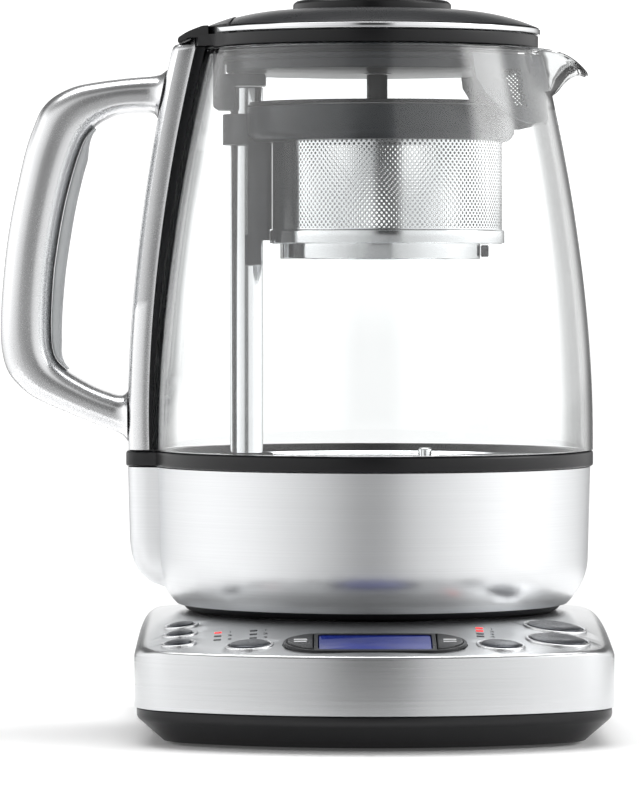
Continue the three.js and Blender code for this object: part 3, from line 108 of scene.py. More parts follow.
def clamp01(value):
    return min(1.0, max(0.0, value))


def smooth01(value):
    share = clamp01(value)
    return share * share * (3 - 2 * share)


def at_angle(radius, angle, height):
    return Vector((radius * math.cos(angle), radius * math.sin(angle), height))


# Sizes of the steel base
BASE_HALF_WIDTH = span("base_shell")[1].x
BASE_FRONT_RADIUS = -span("base_shell")[0].y
BASE_REAR_REACH = span("base_shell")[1].y
BASE_CORNER_RADIUS = 28.0
SEAM_HEIGHT = span("base_shell")[0].z
SEAT_HEIGHT = span("base_shell")[1].z
SEAT_RADIUS = 72.0
PANEL_FALL = 0.14
REAR_EASE_SHARE = 0.5
SHELL_WALL = 1.6
SHELL_FRONT_ROUND = 1.2
SHELL_SIDE_ROUND = 4.5
SIDE_ROUND_END_SHARE = 0.66
FRONT_ROUND_START_SHARE = 0.82
SEAT_STEP = 0.06
SEAT_STEP_WIDTH = 1.5
CONNECTOR_HOLE = 20.0
CONNECTOR_ROUND_WIDTH = 1.0
CONNECTOR_ROUND_DEPTH = 0.6
CORD_HOLE = 5.0 + SEAT_GAP

# Round keys: node, body, radius, and place on the panel as shares of its half width and of its depth
ROUND_KEYS = [
    ("button_small_1", "small_key_1", 4.65, -0.811, 0.518),
    ("button_small_2", "small_key_2", 4.65, -0.811, 0.684),
    ("button_small_3", "small_key_3", 4.65, -0.811, 0.848),
    ("button_round_left", "round_key_left", 6.9, -0.517, 0.86),
    ("button_round_right", "round_key_right", 6.9, 0.517, 0.86),
    ("button_large_1", "large_key_1", 9.7, 0.762, 0.56),
    ("button_large_2", "large_key_2", 9.7, 0.762, 0.79),
]
DISPLAY_DEPTH_SHARE = 0.827
DISPLAY_HALF_LENGTH = 30.99
DISPLAY_RADIUS = 14.2
DISPLAY_THICKNESS = 3.4
DISPLAY_PROUD = 0.5
SCREEN_HALF_LENGTH = 19.29
SCREEN_HALF_WIDTH = 12.0
SCREEN_CORNER = 1.5
SCREEN_SUNK = 0.3

# Sizes of the jug
BODY_BOTTOM = span("jug_body")[0].z
BODY_TOP = span("jug_body")[1].z
BODY_CURVE_HEIGHT = 18.0
BODY_RADIUS_LOW = 77.1
BODY_RADIUS_TOP = 77.9
BODY_WALL = 1.2
BODY_CURVE_POWER = 2.4
JUG_FOOT_RADIUS = span("jug_foot")[1].x
LOBE_REACH = 8.9
LOBE_HALF_WIDTH = 17.0
LOBE_CORNER = 8.0
LOBE_SOFTNESS = 1.5
LOBE_CURVE_BOTTOM = 49.5
LOBE_CURVE_TOP = 67.0
GLASS_RADIUS = 78.9
GLASS_BOTTOM = span("jug_glass")[0].z
GLASS_TOP = span("jug_glass")[1].z
GLASS_SHOULDER = 105.0
GLASS_RIM_RADIUS = 60.5
GLASS_LEAN_POWER = 1.8
SPOUT_HALF_ANGLE = 0.46
SPOUT_ROOT = 223.5
SPOUT_TIP_RADIUS = 76.8
SPOUT_TIP_HEIGHT = 231.2
PILLAR_X = -44.8
BASKET_X = 2.9
MESH_X = 5.4
STEM_X = 1.8
BRACKET_RADIUS = 9.7
SLEEVE_RADIUS = 8.6
LID_RADIUS = 60.0


class TeaMakerSizes(bpy.types.PropertyGroup):
    """Sizes that a user may change"""

    glass_wall: FloatProperty(
        name="Glass wall", description="Thickness of the jug's glass", default=0.0028, unit="LENGTH")
    hole_pitch: FloatProperty(
        name="Hole pitch", description="Distance between holes in a row of the basket's wall",
        default=0.00178, unit="LENGTH")
    hole_row_pitch: FloatProperty(
        name="Row pitch", description="Distance between every other row of holes",
        default=0.0021, unit="LENGTH")
    hole_radius: FloatProperty(
        name="Hole radius", description="Radius of a hole in the basket's wall",
        default=0.0005, unit="LENGTH")
    brush_depth: FloatProperty(
        name="Brush depth", description="Depth of the lines in the brushed steel",
        default=0.00002, unit="LENGTH")


class TeaMakerColours(bpy.types.PropertyGroup):
    """Colours that a user may change"""

    steel: FloatVectorProperty(
        name="Steel", description="Brushed steel of the jug and the base", subtype="COLOR",
        default=(0.73, 0.74, 0.75))
    satin: FloatVectorProperty(
        name="Satin metal", description="Handle and spine", subtype="COLOR", default=(0.8, 0.805, 0.815))
    slate: FloatVectorProperty(
        name="Slate plastic", subtype="COLOR", default=(0.015, 0.019, 0.025),
        description="Spout filter, basket ring, bracket and tab, lid skirt and floor, pillar guide")
    dark: FloatVectorProperty(
        name="Dark plastic", description="Lid dome, display bezel, end keys, spine liner", subtype="COLOR",
        default=(0.009, 0.01, 0.012))
    black: FloatVectorProperty(
        name="Black plastic", subtype="COLOR", default=(0.006, 0.006, 0.007),
        description="Base tub, jug foot, wall seal, basket lid, lid seal and knob")
    pale: FloatVectorProperty(
        name="Pale plastic", description="Grip insert", subtype="COLOR", default=(0.62, 0.64, 0.65))
    display: FloatVectorProperty(
        name="Display", description="Light of the display", subtype="COLOR", default=(0.005, 0.015, 0.16))


class TeaMakerStage(bpy.types.PropertyGroup):
    """Camera settings that a user may change"""

    lens: FloatProperty(
        name="Lens", description="Focal length of the camera in millimetres", default=227.25)
    distance: FloatProperty(
        name="Distance", description="From the camera to the jug's axis", default=1.804, unit="LENGTH")
    eye_height: FloatProperty(
        name="Eye height", description="Camera above the table", default=0.1563, unit="LENGTH")
    aside: FloatProperty(
        name="Aside", description="Camera to the left of the jug's axis", default=0.0184, unit="LENGTH")
    tilt: FloatProperty(
        name="Tilt", description="How far the camera looks down", default=0.02277, unit="ROTATION")


def sizes():
    return bpy.context.scene.tea_maker_sizes


def colours():
    return bpy.context.scene.tea_maker_colours


# Modelling by hand: every piece starts as a primitive in an empty selection.
def clear_selection():
    if bpy.context.object and bpy.context.object.mode != "OBJECT":
        bpy.ops.object.mode_set(mode="OBJECT")
    bpy.ops.object.select_all(action="DESELECT")


def named(name):
    piece = bpy.context.object
    piece.name = name
    piece.data.name = name
    return piece


def mend(piece, merge=1e-3):
    """Closes doubled points and turns the faces outwards."""
    bpy.ops.object.mode_set(mode="EDIT")
    bpy.ops.mesh.select_all(action="SELECT")
    bpy.ops.mesh.remove_doubles(threshold=merge)
    bpy.ops.mesh.normals_make_consistent(inside=False)
    bpy.ops.object.mode_set(mode="OBJECT")
    return piece


def select_only(piece):
    clear_selection()
    piece.select_set(True)
    bpy.context.view_layer.objects.active = piece


def modified(piece, kind, **settings):
    """Adds a modifier and applies it."""
    select_only(piece)
    modifier = piece.modifiers.new(kind.lower(), kind)
    for name, value in settings.items():
        setattr(modifier, name, value)
    bpy.ops.object.modifier_apply(modifier=modifier.name)
    return piece


def bevelled(piece, width, sharp_angle=0.9, segments=3):
    """Rounds the edges that turn by more than an angle."""
    return modified(piece, "BEVEL", width=width, segments=segments, limit_method="ANGLE",
                    angle_limit=sharp_angle)


def repeated(piece, count, step):
    """Copies in a row, a step apart, with their shared edges merged."""
    return modified(piece, "ARRAY", count=count, use_relative_offset=False, use_constant_offset=True,
                    constant_offset_displace=step, use_merge_vertices=True, merge_threshold=1e-3)


def cut_away(piece, *tools):
    for tool in tools:
        modified(piece, "BOOLEAN", operation="DIFFERENCE", solver="EXACT", object=tool)
        bpy.data.objects.remove(tool)
    return piece


def common(piece, other):
    modified(piece, "BOOLEAN", operation="INTERSECT", solver="EXACT", object=other)
    bpy.data.objects.remove(other)
    return piece


def joined(piece, *others):
    for other in others:
        modified(piece, "BOOLEAN", operation="UNION", solver="EXACT", object=other)
        bpy.data.objects.remove(other)
    return piece


def gathered(name, pieces):
    """Several loose solids as one piece."""
    clear_selection()
    for piece in pieces:
        piece.select_set(True)
    bpy.context.view_layer.objects.active = pieces[0]
    if len(pieces) > 1:
        bpy.ops.object.join()
    return named(name)


def filleted(outline, radii, closed=False):
    """An outline with each corner rounded; radii holds one radius, or one for each point."""
    count = len(outline)
    points = [Vector(point) for point in outline]
    radius_at = radii if isinstance(radii, (list, tuple)) else [radii] * count
    result = []
    for i, point in enumerate(points):
        at_end = not closed and i in (0, count - 1)
        before, after = points[i - 1] - point, points[(i + 1) % count] - point
        reach = 0 if at_end else min(radius_at[i], before.length * 0.45, after.length * 0.45)
        if reach < 1e-4:
            result.append(point)
            continue
        start, end = point + before.normalized() * reach, point + after.normalized() * reach
        for step in range(FILLET_STEPS + 1):
            share = step / FILLET_STEPS
            result.append(start.lerp(point, share).lerp(point.lerp(end, share), share))
    return result


def turned(name, outline, x=0.0, y=0.0, sides=ROUND_STEPS):
    """Spins an outline of (radius, height) points about an upright axis."""
    clear_selection()
    bpy.ops.mesh.primitive_plane_add(size=1)
    piece = named(name)
    points = [Vector((x + radius, y, height)) for radius, height in outline]
    bpy.ops.object.mode_set(mode="EDIT")
    bpy.ops.mesh.merge(type="CENTER")
    bpy.ops.transform.translate(value=points[0])
    for before, after in zip(points, points[1:]):
        bpy.ops.mesh.extrude_vertices_move(TRANSFORM_OT_translate={"value": after - before})
    bpy.ops.mesh.select_all(action="SELECT")
    bpy.ops.mesh.spin(steps=sides, angle=TURN, center=(x, y, 0), axis=(0, 0, 1))
    bpy.ops.object.mode_set(mode="OBJECT")
    return mend(piece)


def bored(outline):
    """An outline that closes on itself, away from the axis."""
    return list(outline) + [outline[0]]


def disc(name, radius, bottom, top, x=0.0, y=0.0, sides=ROUND_STEPS, edge=0.0):
    corners = [(0, bottom), (radius, bottom), (radius, top), (0, top)]
    return turned(name, filleted(corners, edge), x, y, sides)


def drill(radius, low, high, x=0.0, y=0.0, sides=TUBE_STEPS):
    """A round tool that runs past both faces of a piece."""
    return disc("drill", radius, low.z - OVERRUN, high.z + OVERRUN, x, y, sides)


def hoop(name, inner, outer, bottom, top, x=0.0, y=0.0, sides=ROUND_STEPS, edge=0.0):
    corners = [(inner, bottom), (outer, bottom), (outer, top), (inner, top)]
    return turned(name, bored(filleted(corners, edge, closed=True)), x, y, sides)


def lofted(name, rings, around, comes_back=False):
    """Bends a grid into a skin through rings, each a function of the share of the way round."""
    clear_selection()
    up = len(rings) - (0 if comes_back else 1)
    bpy.ops.mesh.primitive_grid_add(x_subdivisions=around, y_subdivisions=up, size=2)
    piece = named(name)
    places = [[ring(i / around) for i in range(around)] for ring in rings]
    for vertex in piece.data.vertices:
        i = round((vertex.co.x + 1) / 2 * around) % around
        k = round((vertex.co.y + 1) / 2 * up) % len(rings)
        vertex.co = places[k][i]
    if not comes_back:
        bpy.ops.object.mode_set(mode="EDIT")
        bpy.ops.mesh.select_all(action="SELECT")
        bpy.ops.mesh.remove_doubles(threshold=1e-4)
        bpy.ops.mesh.select_mode(type="EDGE")
        bpy.ops.mesh.select_all(action="DESELECT")
        bpy.ops.mesh.select_non_manifold()
        bpy.ops.mesh.fill_holes(sides=0)
        bpy.ops.mesh.select_mode(type="VERT")
        bpy.ops.object.mode_set(mode="OBJECT")
    return mend(piece, 1e-4)


def slab(name, outline, bottom, top, edge=0.0):
    """A flat outline pulled up from one height to another, with its edges bevelled."""
    clear_selection()
    bpy.ops.mesh.primitive_circle_add(vertices=len(outline), radius=1, fill_type="NGON")
    piece = named(name)
    for vertex, point in zip(piece.data.vertices, outline):
        vertex.co = (point[0], point[1], bottom)
    bpy.ops.object.mode_set(mode="EDIT")
    bpy.ops.mesh.select_all(action="SELECT")
    bpy.ops.mesh.extrude_region_move(TRANSFORM_OT_translate={"value": (0, 0, top - bottom)})
    bpy.ops.object.mode_set(mode="OBJECT")
    mend(piece)
    return bevelled(piece, edge, 0.7) if edge else piece


def arc(x, y, radius, start, end, steps):
    angles = [mix(start, end, i / steps) for i in range(steps + 1)]
    return [Vector((x + radius * math.cos(angle), y + radius * math.sin(angle))) for angle in angles]


def stadium(half_length, radius):
    right = arc(half_length - radius, 0, radius, -QUARTER, QUARTER, OVAL_STEPS)
    return right + arc(radius - half_length, 0, radius, QUARTER, 3 * QUARTER, OVAL_STEPS)


def rounded_box(half_x, half_y, corner):
    corners = [(1, -1, -QUARTER), (1, 1, 0), (-1, 1, QUARTER), (-1, -1, HALF_TURN)]
    points = []
    for side_x, side_y, start in corners:
        x, y = side_x * (half_x - corner), side_y * (half_y - corner)
        points += arc(x, y, corner, start, start + QUARTER, CORNER_STEPS)
    return points


def settle(piece, look, body, slot, *nodes, sharp=35):
    """Smooths a piece, brings it into the frame, gives it its finish and body, and hides the CAD nodes it
    stands in for.
    """
    select_only(piece)
    bpy.ops.object.shade_smooth_by_angle(angle=math.radians(sharp))
    piece.data.transform(Matrix.Translation(JUG_AXIS) @ Matrix.Scale(MM, 4))
    piece.data.materials.clear()
    piece.data.materials.append(finish(look))
    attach(piece, body)
    if nodes:
        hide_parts(*nodes)
    return piece


# Finishes: a socket that takes part in Python expressions, and a maker of any other node.
class Link:
    """A shader socket; an expression on it adds its Math nodes."""

    def __init__(self, tree, socket):
        self.tree = tree
        self.socket = socket

    def math(self, operation, first, second=0.0):
        return self.tree.output("ShaderNodeMath", {"operation": operation}, {0: first, 1: second})

    def __add__(self, other):
        return self.math("ADD", self, other)

    def __radd__(self, other):
        return self.math("ADD", other, self)

    def __sub__(self, other):
        return self.math("SUBTRACT", self, other)

    def __rsub__(self, other):
        return self.math("SUBTRACT", other, self)

    def __mul__(self, other):
        return self.math("MULTIPLY", self, other)

    def __rmul__(self, other):
        return self.math("MULTIPLY", other, self)

    def __truediv__(self, other):
        return self.math("DIVIDE", self, other)

    def __rtruediv__(self, other):
        return self.math("DIVIDE", other, self)

    def __gt__(self, other):
        return self.math("GREATER_THAN", self, other)

    def absolute(self):
        return self.math("ABSOLUTE", self)


class Tree:
    """A node tree, with one method that adds any node to it."""

    def __init__(self, tree):
        self.tree = tree

    def node(self, kind, settings=None, sockets=None):
        """Any node: its type, its settings, which are set first, and its sockets' values or links."""
        node = self.tree.nodes.new(kind)
        for name, value in (settings or {}).items():
            if name == "stops":
                ramp = node.color_ramp.elements
                for i, (place, shade) in enumerate(value):
                    stop = ramp[i] if i < len(ramp) else ramp.new(place)
                    stop.position = place
                    stop.color = (shade, shade, shade, 1)
            else:
                setattr(node, name, value)
        for name, value in (sockets or {}).items():
            self.feed(node.inputs[name], value)
        return node

    def output(self, kind, settings=None, sockets=None, which=0):
        """One output of a new node, ready for an expression."""
        return Link(self, self.node(kind, settings, sockets).outputs[which])

    def feed(self, socket, value):
        if isinstance(value, Link):
            self.tree.links.new(value.socket, socket)
        else:
            socket.default_value = value

    def ramp(self, value, stops):
        """A number looked up between stops of place and number."""
        return self.output("ShaderNodeValToRGB", {"stops": stops}, {0: value})


class Surface(Tree):
    """A material and its shader, with methods that add nodes to it."""

    def __init__(self, name, colour, metallic=0.0, roughness=0.4):
        self.material = bpy.data.materials.new(name)
        self.material.use_nodes = True
        super().__init__(self.material.node_tree)
        self.shader = self.tree.nodes["Principled BSDF"]
        self.colour = tuple(colour[:3]) + (1.0,)
        self.put({"Base Color": self.colour, "Metallic": metallic, "Roughness": roughness})

    def put(self, values):
        for name, value in values.items():
            self.feed(self.shader.inputs[name], value)

    def noise(self, size, detail=2.0, stretch=(1, 1, 1)):
        """Noise on object coordinates whose grains measure about size metres."""
        source = self.output("ShaderNodeTexCoord", which="Object")
        scale = tuple(share / size for share in stretch)
        where = self.output("ShaderNodeMapping", {}, {"Vector": source, "Scale": scale})
        sockets = {"Vector": where, "Scale": 1.0, "Detail": detail, "Roughness": 0.6}
        return self.output("ShaderNodeTexNoise", {}, sockets)

    def normal_part(self, axis):
        normal = self.output("ShaderNodeNewGeometry", which="Normal")
        return self.output("ShaderNodeSeparateXYZ", {}, {0: normal}, axis)

    def tint(self, share, first, second):
        """A colour between two others, by a share."""
        sockets = {0: share, 6: tuple(first[:3]) + (1.0,), 7: tuple(second[:3]) + (1.0,)}
        return self.output("ShaderNodeMix", {"data_type": "RGBA"}, sockets, 2)

    def bump(self, height, distance):
        sockets = {"Height": height, "Distance": distance, "Strength": 1.0}
        self.put({"Normal": self.output("ShaderNodeBump", {}, sockets)})

    def shade(self, factor):
        """The piece's colour, darker or lighter by a factor."""
        return tuple(min(1.0, part * factor) for part in self.colour[:3])


def brushed_steel(name, level, roughness):
    """Steel brushed along level lines; the panel's lines run from side to side. A brightness below one
    paints shade into the colour.
    """
    surface = Surface(name, colours().steel, 1.0)
    along = surface.noise(0.0011, 3.0, (0.012, 0.012, 4.2))
    across = surface.noise(0.0011, 3.0, (0.03, 4.2, 0.5))
    flat = surface.normal_part(2).absolute() > 0.8
    lines = along + (across - along) * flat
    cloud = surface.noise(0.05, 1.0, (1, 1, 1.6))
    surface.put({
        "Roughness": lines * 0.1 + cloud * 0.04 + roughness,
        "Base Color": surface.tint(lines, surface.shade(0.92 * level), surface.shade(1.08 * level)),
    })
    surface.bump(lines, sizes().brush_depth * 0.35)
    return surface


def polished_steel(name):
    """Bright drawn steel with faint hairlines and wiping marks."""
    surface = Surface(name, (0.78, 0.79, 0.8), 1.0)
    hair = surface.noise(0.0006, 2.0, (0.02, 0.02, 3.0))
    smear = surface.noise(0.02, 2.0)
    surface.put({
        "Roughness": hair * 0.06 + smear * 0.07 + 0.04,
        "Base Color": surface.tint(smear, surface.shade(0.95), surface.shade(1.04)),
    })
    surface.bump(hair, 0.000004)
    return surface


def satin_metal(name):
    """Blasted and buffed casting of the handle and the spine."""
    surface = Surface(name, colours().satin, 1.0)
    grain = surface.noise(0.0005, 3.0)
    drift = surface.noise(0.03, 2.0)
    surface.put({
        "Roughness": grain * 0.06 + drift * 0.08 + 0.2,
        "Base Color": surface.tint(drift, surface.shade(0.94), surface.shade(1.05)),
    })
    surface.bump(grain, 0.000002)
    return surface


def moulded(name, colour, gloss, grain_size, grain_depth):
    """Moulded plastic with a fine eroded grain and slight handling marks."""
    surface = Surface(name, getattr(colours(), colour) if isinstance(colour, str) else colour)
    surface.put({"Specular IOR Level": 0.35})
    grain = surface.noise(grain_size, 3.0)
    wear = surface.noise(0.018, 3.0)
    surface.put({
        "Roughness": grain * 0.1 + wear * 0.12 + (gloss - 0.1),
        "Base Color": surface.tint(wear, surface.shade(0.9), surface.shade(1.12)),
    })
    surface.bump(grain, grain_depth)
    return surface


def clear_glass(name):
    """Clear borosilicate glass with the faintest waviness."""
    surface = Surface(name, (0.985, 0.995, 0.995), 0.0, 0.0)
    surface.put({"IOR": 1.52, "Transmission Weight": 1.0})
    surface.bump(surface.noise(0.03, 1.0, (1, 1, 0.6)), 0.00006)
    return surface


def lit_display(name):
    """A blue backlit display under a clear window, brighter in places."""
    surface = Surface(name, colours().display, 0.0, 0.08)
    glow = surface.noise(0.012, 2.0)
    surface.put({
        "Coat Weight": 0.3, "Coat Roughness": 0.25, "Emission Strength": 0.55,
        "Base Color": surface.tint(glow, surface.shade(0.6), surface.shade(1.2)),
        "Emission Color": surface.tint(glow, surface.shade(0.6), surface.shade(1.5)),
    })
    return surface


def key_metal(name):
    """Dark satin caps of the keys."""
    surface = Surface(name, (0.06, 0.065, 0.075), 0.6)
    grain = surface.noise(0.0004, 2.0)
    surface.put({
        "Roughness": grain * 0.12 + 0.22,
        "Base Color": surface.tint(grain, surface.shade(0.85), surface.shade(1.1)),
    })
    surface.bump(grain, 0.000006)
    return surface


def lamp(name, colour, strength):
    """A small indicator light."""
    surface = Surface(name, colour, 0.0, 0.25)
    spot = surface.noise(0.0006, 1.0)
    surface.put({
        "Emission Strength": strength,
        "Base Color": surface.tint(spot, surface.shade(0.8), surface.shade(1.1)),
        "Emission Color": surface.tint(spot, surface.shade(0.8), surface.shade(1.2)),
    })
    return surface


def circuit_green(name):
    """Lacquered board with the pale tracks showing through."""
    surface = Surface(name, (0.02, 0.12, 0.06), 0.0, 0.35)
    tracks = surface.noise(0.003, 0.0) > 0.52
    surface.put({"Base Color": surface.tint(tracks, surface.colour, (0.05, 0.22, 0.11))})
    surface.bump(tracks, 0.00003)
    return surface


# Each finish's maker and what it is told: of steel, brightness, which below one is painted shade on its
# colour, and roughness; of a lamp, colour and strength; of plastic, colour, roughness, and the size and
# depth of its grain in metres
FINISHES = {
    "brushed_steel": (brushed_steel, 1.0, 0.27),
    # The base's steel is the jug's steel with painted shade: its colour darkened to 0.84 of the jug's
    "base_steel": (brushed_steel, 0.84, 0.18),
    "polished_steel": (polished_steel,),
    "machined_steel": (polished_steel,),
    "satin_metal": (satin_metal,),
    "key_metal": (key_metal,),
    "clear_glass": (clear_glass,),
    "lit_display": (lit_display,),
    "lamp_red": (lamp, (0.75, 0.02, 0.02), 1.2),
    "lamp_unlit": (lamp, (0.03, 0.03, 0.035), 0.0),
    "circuit_green": (circuit_green,),
    "black_plastic": (moulded, "black", 0.3, 0.0005, 0.00001),
    "dark_plastic": (moulded, "dark", 0.28, 0.0005, 0.000008),
    "slate_plastic": (moulded, "slate", 0.3, 0.0006, 0.000008),
    "pale_plastic": (moulded, "pale", 0.35, 0.0004, 0.00001),
    "white_mark": (moulded, (0.82, 0.83, 0.84), 0.45, 0.0004, 0.00001),
    "rubber": (moulded, (0.016, 0.016, 0.017), 0.7, 0.0006, 0.00003),
}
MADE = {}


def finish(name):
    """A finish by its name, made when it is first asked for."""
    if name not in MADE:
        maker, *told = FINISHES[name]
        MADE[name] = maker(name, *told).material
    return MADE[name]


# The steel base
FRONT_STEPS = 20
SIDE_STEPS = 14
EDGE_STEPS = 8


def base_outline(inset):
    """The base seen from above, moved in by an inset: a bowed front, straight sides, round corners."""
    half = BASE_HALF_WIDTH - inset
    corner = BASE_CORNER_RADIUS - inset
    front = BASE_FRONT_RADIUS - inset
    middle_x = half - corner
    front_y = -math.sqrt((front - corner) ** 2 - middle_x**2)
    rear_y = BASE_REAR_REACH - inset - corner
    turn = math.atan2(-front_y, middle_x)
    corners = [
        arc(middle_x, front_y, corner, -turn, 0, 2 * CORNER_STEPS),
        arc(middle_x, rear_y, corner, 0, QUARTER, 2 * CORNER_STEPS),
        arc(-middle_x, rear_y, corner, QUARTER, HALF_TURN, 2 * CORNER_STEPS),
        arc(-middle_x, front_y, corner, HALF_TURN, HALF_TURN + turn, 2 * CORNER_STEPS),
    ]
    points = arc(0, 0, front, -QUARTER, -turn, FRONT_STEPS)[:-1] + corners[0]
    for before, after in zip(corners, corners[1:]):
        points += [before[-1].lerp(after[0], i / SIDE_STEPS) for i in range(1, SIDE_STEPS)] + after
    return points + arc(0, 0, front, HALF_TURN + turn, 3 * QUARTER, FRONT_STEPS)[1:-1]


def panel_height(x, y):
    radius = math.hypot(x, y)
    fall = PANEL_FALL * (1 - REAR_EASE_SHARE * max(0.0, y / radius))
    return SEAT_HEIGHT - fall * max(0.0, radius - SEAT_RADIUS)


def panel_frame(x, y, lift=0.0):
    """A frame on the panel whose Z points straight out of it."""
    radius = math.hypot(x, y)
    out = Vector((x / radius * PANEL_FALL, y / radius * PANEL_FALL, 1)).normalized()
    turn = Vector((0, 0, 1)).rotation_difference(out).to_matrix().to_4x4()
    place = Vector((x, y, panel_height(x, y))) + out * lift
    return Matrix.Translation(place) @ turn


def key_frame(side_share, depth_share):
    x = side_share * BASE_HALF_WIDTH
    return panel_frame(x, -depth_share * math.sqrt(BASE_FRONT_RADIUS**2 - x**2))


def placed(piece, matrix):
    piece.data.transform(matrix)
    return piece


def ring_from(points):
    return lambda share: points[round(share * len(points)) % len(points)]


def base_skin(name):
    """The pressed steel shell as one closed skin, its wall thickness included."""
    edge = base_outline(0)
    inner = base_outline(1)
    count = len(edge)

    def rounding(i):
        forward = -edge[i].y / BASE_FRONT_RADIUS - SIDE_ROUND_END_SHARE
        share = smooth01(forward / (FRONT_ROUND_START_SHARE - SIDE_ROUND_END_SHARE))
        return mix(SHELL_SIDE_ROUND, SHELL_FRONT_ROUND, share)

    def ring(inset_of, drop_of, from_panel=True):
        def place(share):
            i = round(share * count) % count
            radius = rounding(i)
            flat = edge[i] + (inner[i] - edge[i]) * inset_of(radius)
            height = panel_height(*flat) - drop_of(radius) if from_panel else SEAM_HEIGHT
            return Vector((flat.x, flat.y, height))
        return place

    def circle(radius, height, blend=1.0):
        def place(share):
            i = round(share * count) % count
            angle = math.atan2(edge[i].y, edge[i].x)
            flat = (edge[i] + (inner[i] - edge[i]) * rounding(i)).lerp(
                Vector((radius * math.cos(angle), radius * math.sin(angle))), blend)
            level = panel_height(*flat) if height is None else height
            return Vector((flat.x, flat.y, level))
        return place

    turns = [i / EDGE_STEPS * QUARTER for i in range(EDGE_STEPS + 1)]
    rings = [ring(lambda r: 0, lambda r: 0, False)]
    rings += [ring(lambda r, t=t: r * (1 - math.cos(t)), lambda r, t=t: r * (1 - math.sin(t)))
              for t in turns]
    rings += [circle(SEAT_RADIUS + SEAT_STEP_WIDTH, None, share) for share in (0.25, 0.5, 0.75, 1)]
    rings += [
        circle(SEAT_RADIUS, SEAT_HEIGHT - SEAT_STEP),
        circle(SEAT_RADIUS - SEAT_STEP_WIDTH, SEAT_HEIGHT),
        circle(CONNECTOR_HOLE + CONNECTOR_ROUND_WIDTH, SEAT_HEIGHT),
        circle(CONNECTOR_HOLE, SEAT_HEIGHT - CONNECTOR_ROUND_DEPTH),
        circle(CONNECTOR_HOLE, SEAT_HEIGHT - SHELL_WALL),
        circle(SEAT_RADIUS, SEAT_HEIGHT - SHELL_WALL),
        ring(lambda r: SHELL_WALL + r, lambda r: SHELL_WALL),
        ring(lambda r: SHELL_WALL, lambda r: SHELL_WALL + r),
        ring(lambda r: SHELL_WALL, lambda r: 0, False),
    ]
    return lofted(name, rings, count, comes_back=True)


# The slope round a key's hole that its rim lies on: out from the hole, and height over the panel
KEY_GAP = 0.3
RIM_SEAT = [(0, -0.75), (0.35, -0.3), (1.1, 0.06), (1.1, 3)]


class TEAMAKER_OT_base_shell(bpy.types.Operator):
    """Model the brushed steel shell with its openings"""

    bl_idname = "tea_maker.base_shell"
    bl_label = "Base Shell"

    def execute(self, context):
        shell = base_skin("steel_base")
        depth = SHELL_WALL + SHELL_SIDE_ROUND
        tools = []
        for _, _, radius, side, deep in ROUND_KEYS:
            hole = radius + KEY_GAP
            outline = [(0, -depth), (hole, -depth)] + [(hole + out, up) for out, up in RIM_SEAT]
            outline.append((0, RIM_SEAT[-1][1]))
            tools.append(placed(turned("key_hole", outline, sides=SMALL_STEPS), key_frame(side, deep)))
        window = slab("display_hole", stadium(DISPLAY_HALF_LENGTH + SEAT_GAP, DISPLAY_RADIUS + SEAT_GAP),
                      -depth, depth)
        tools.append(placed(window, key_frame(0, DISPLAY_DEPTH_SHARE)))
        hole = disc("cord_hole", CORD_HOLE, -depth, depth, sides=SMALL_STEPS)
        hole.data.transform(Matrix.Rotation(QUARTER, 4, "X"))
        tools.append(placed(hole, Matrix.Translation((0, BASE_REAR_REACH, middle("cord_gland").z))))
        cut_away(shell, *tools)
        # The shell gets the jug's steel with painted shade, a darker colour than the jug's
        settle(shell, "base_steel", "power_base", "brushed_steel", "base_shell")
        return {"FINISHED"}


# The tub and its feet, each with a shallow dish below
TUB_INSET = 0.8
TUB_WALL = 2.0
TUB_FLOOR_INSET = 10.0
TUB_CHAMFER = 8.0
FOOT_DISH_RADIUS = 2.6
FOOT_DISH_SLOPE = 0.6
FOOT_DISH_DEPTH = 0.35


class TEAMAKER_OT_base_tub(bpy.types.Operator):
    """Model the black tub under the shell, and its feet"""

    bl_idname = "tea_maker.base_tub"
    bl_label = "Base Tub and Feet"

    def execute(self, context):
        low, high = span("base_tub")
        chamfer_top = low.z + TUB_CHAMFER
        seam = SEAM_HEIGHT - SEAT_GAP
        lip = SHELL_WALL + SEAT_GAP
        inside = lip + TUB_WALL
        profile = [(TUB_FLOOR_INSET, low.z), (TUB_INSET, chamfer_top), (TUB_INSET, seam), (lip, seam),
                   (lip, high.z), (inside, high.z), (inside, chamfer_top + TUB_WALL / 2),
                   (TUB_FLOOR_INSET + TUB_WALL / 2, low.z + TUB_WALL)]
        outline = filleted(profile, [1.6, 2.2, 0.4, 0.2, 0.4, 0.4, 1, 1])
        rings = [ring_from([Vector((*point, height)) for point in base_outline(inset)])
                 for inset, height in outline]
        tub = lofted("black_tub", rings, len(base_outline(0)))
        settle(tub, "black_plastic", "power_base", "black_plastic", "base_tub")
        for node in ("foot_front_left", "foot_front_right", "foot_rear_left", "foot_rear_right"):
            top, centre = span(node)[1], middle(node)
            radius = top.x - centre.x
            profile = [(0, FOOT_DISH_DEPTH), (FOOT_DISH_RADIUS, FOOT_DISH_DEPTH),
                       (FOOT_DISH_RADIUS + FOOT_DISH_SLOPE, 0), (radius, 0), (radius, top.z), (0, top.z)]
            foot = turned(f"rubber_{node}", filleted(profile, 0.35), centre.x, centre.y, SMALL_STEPS)
            settle(foot, "rubber", "power_base", "rubber", node)
        return {"FINISHED"}


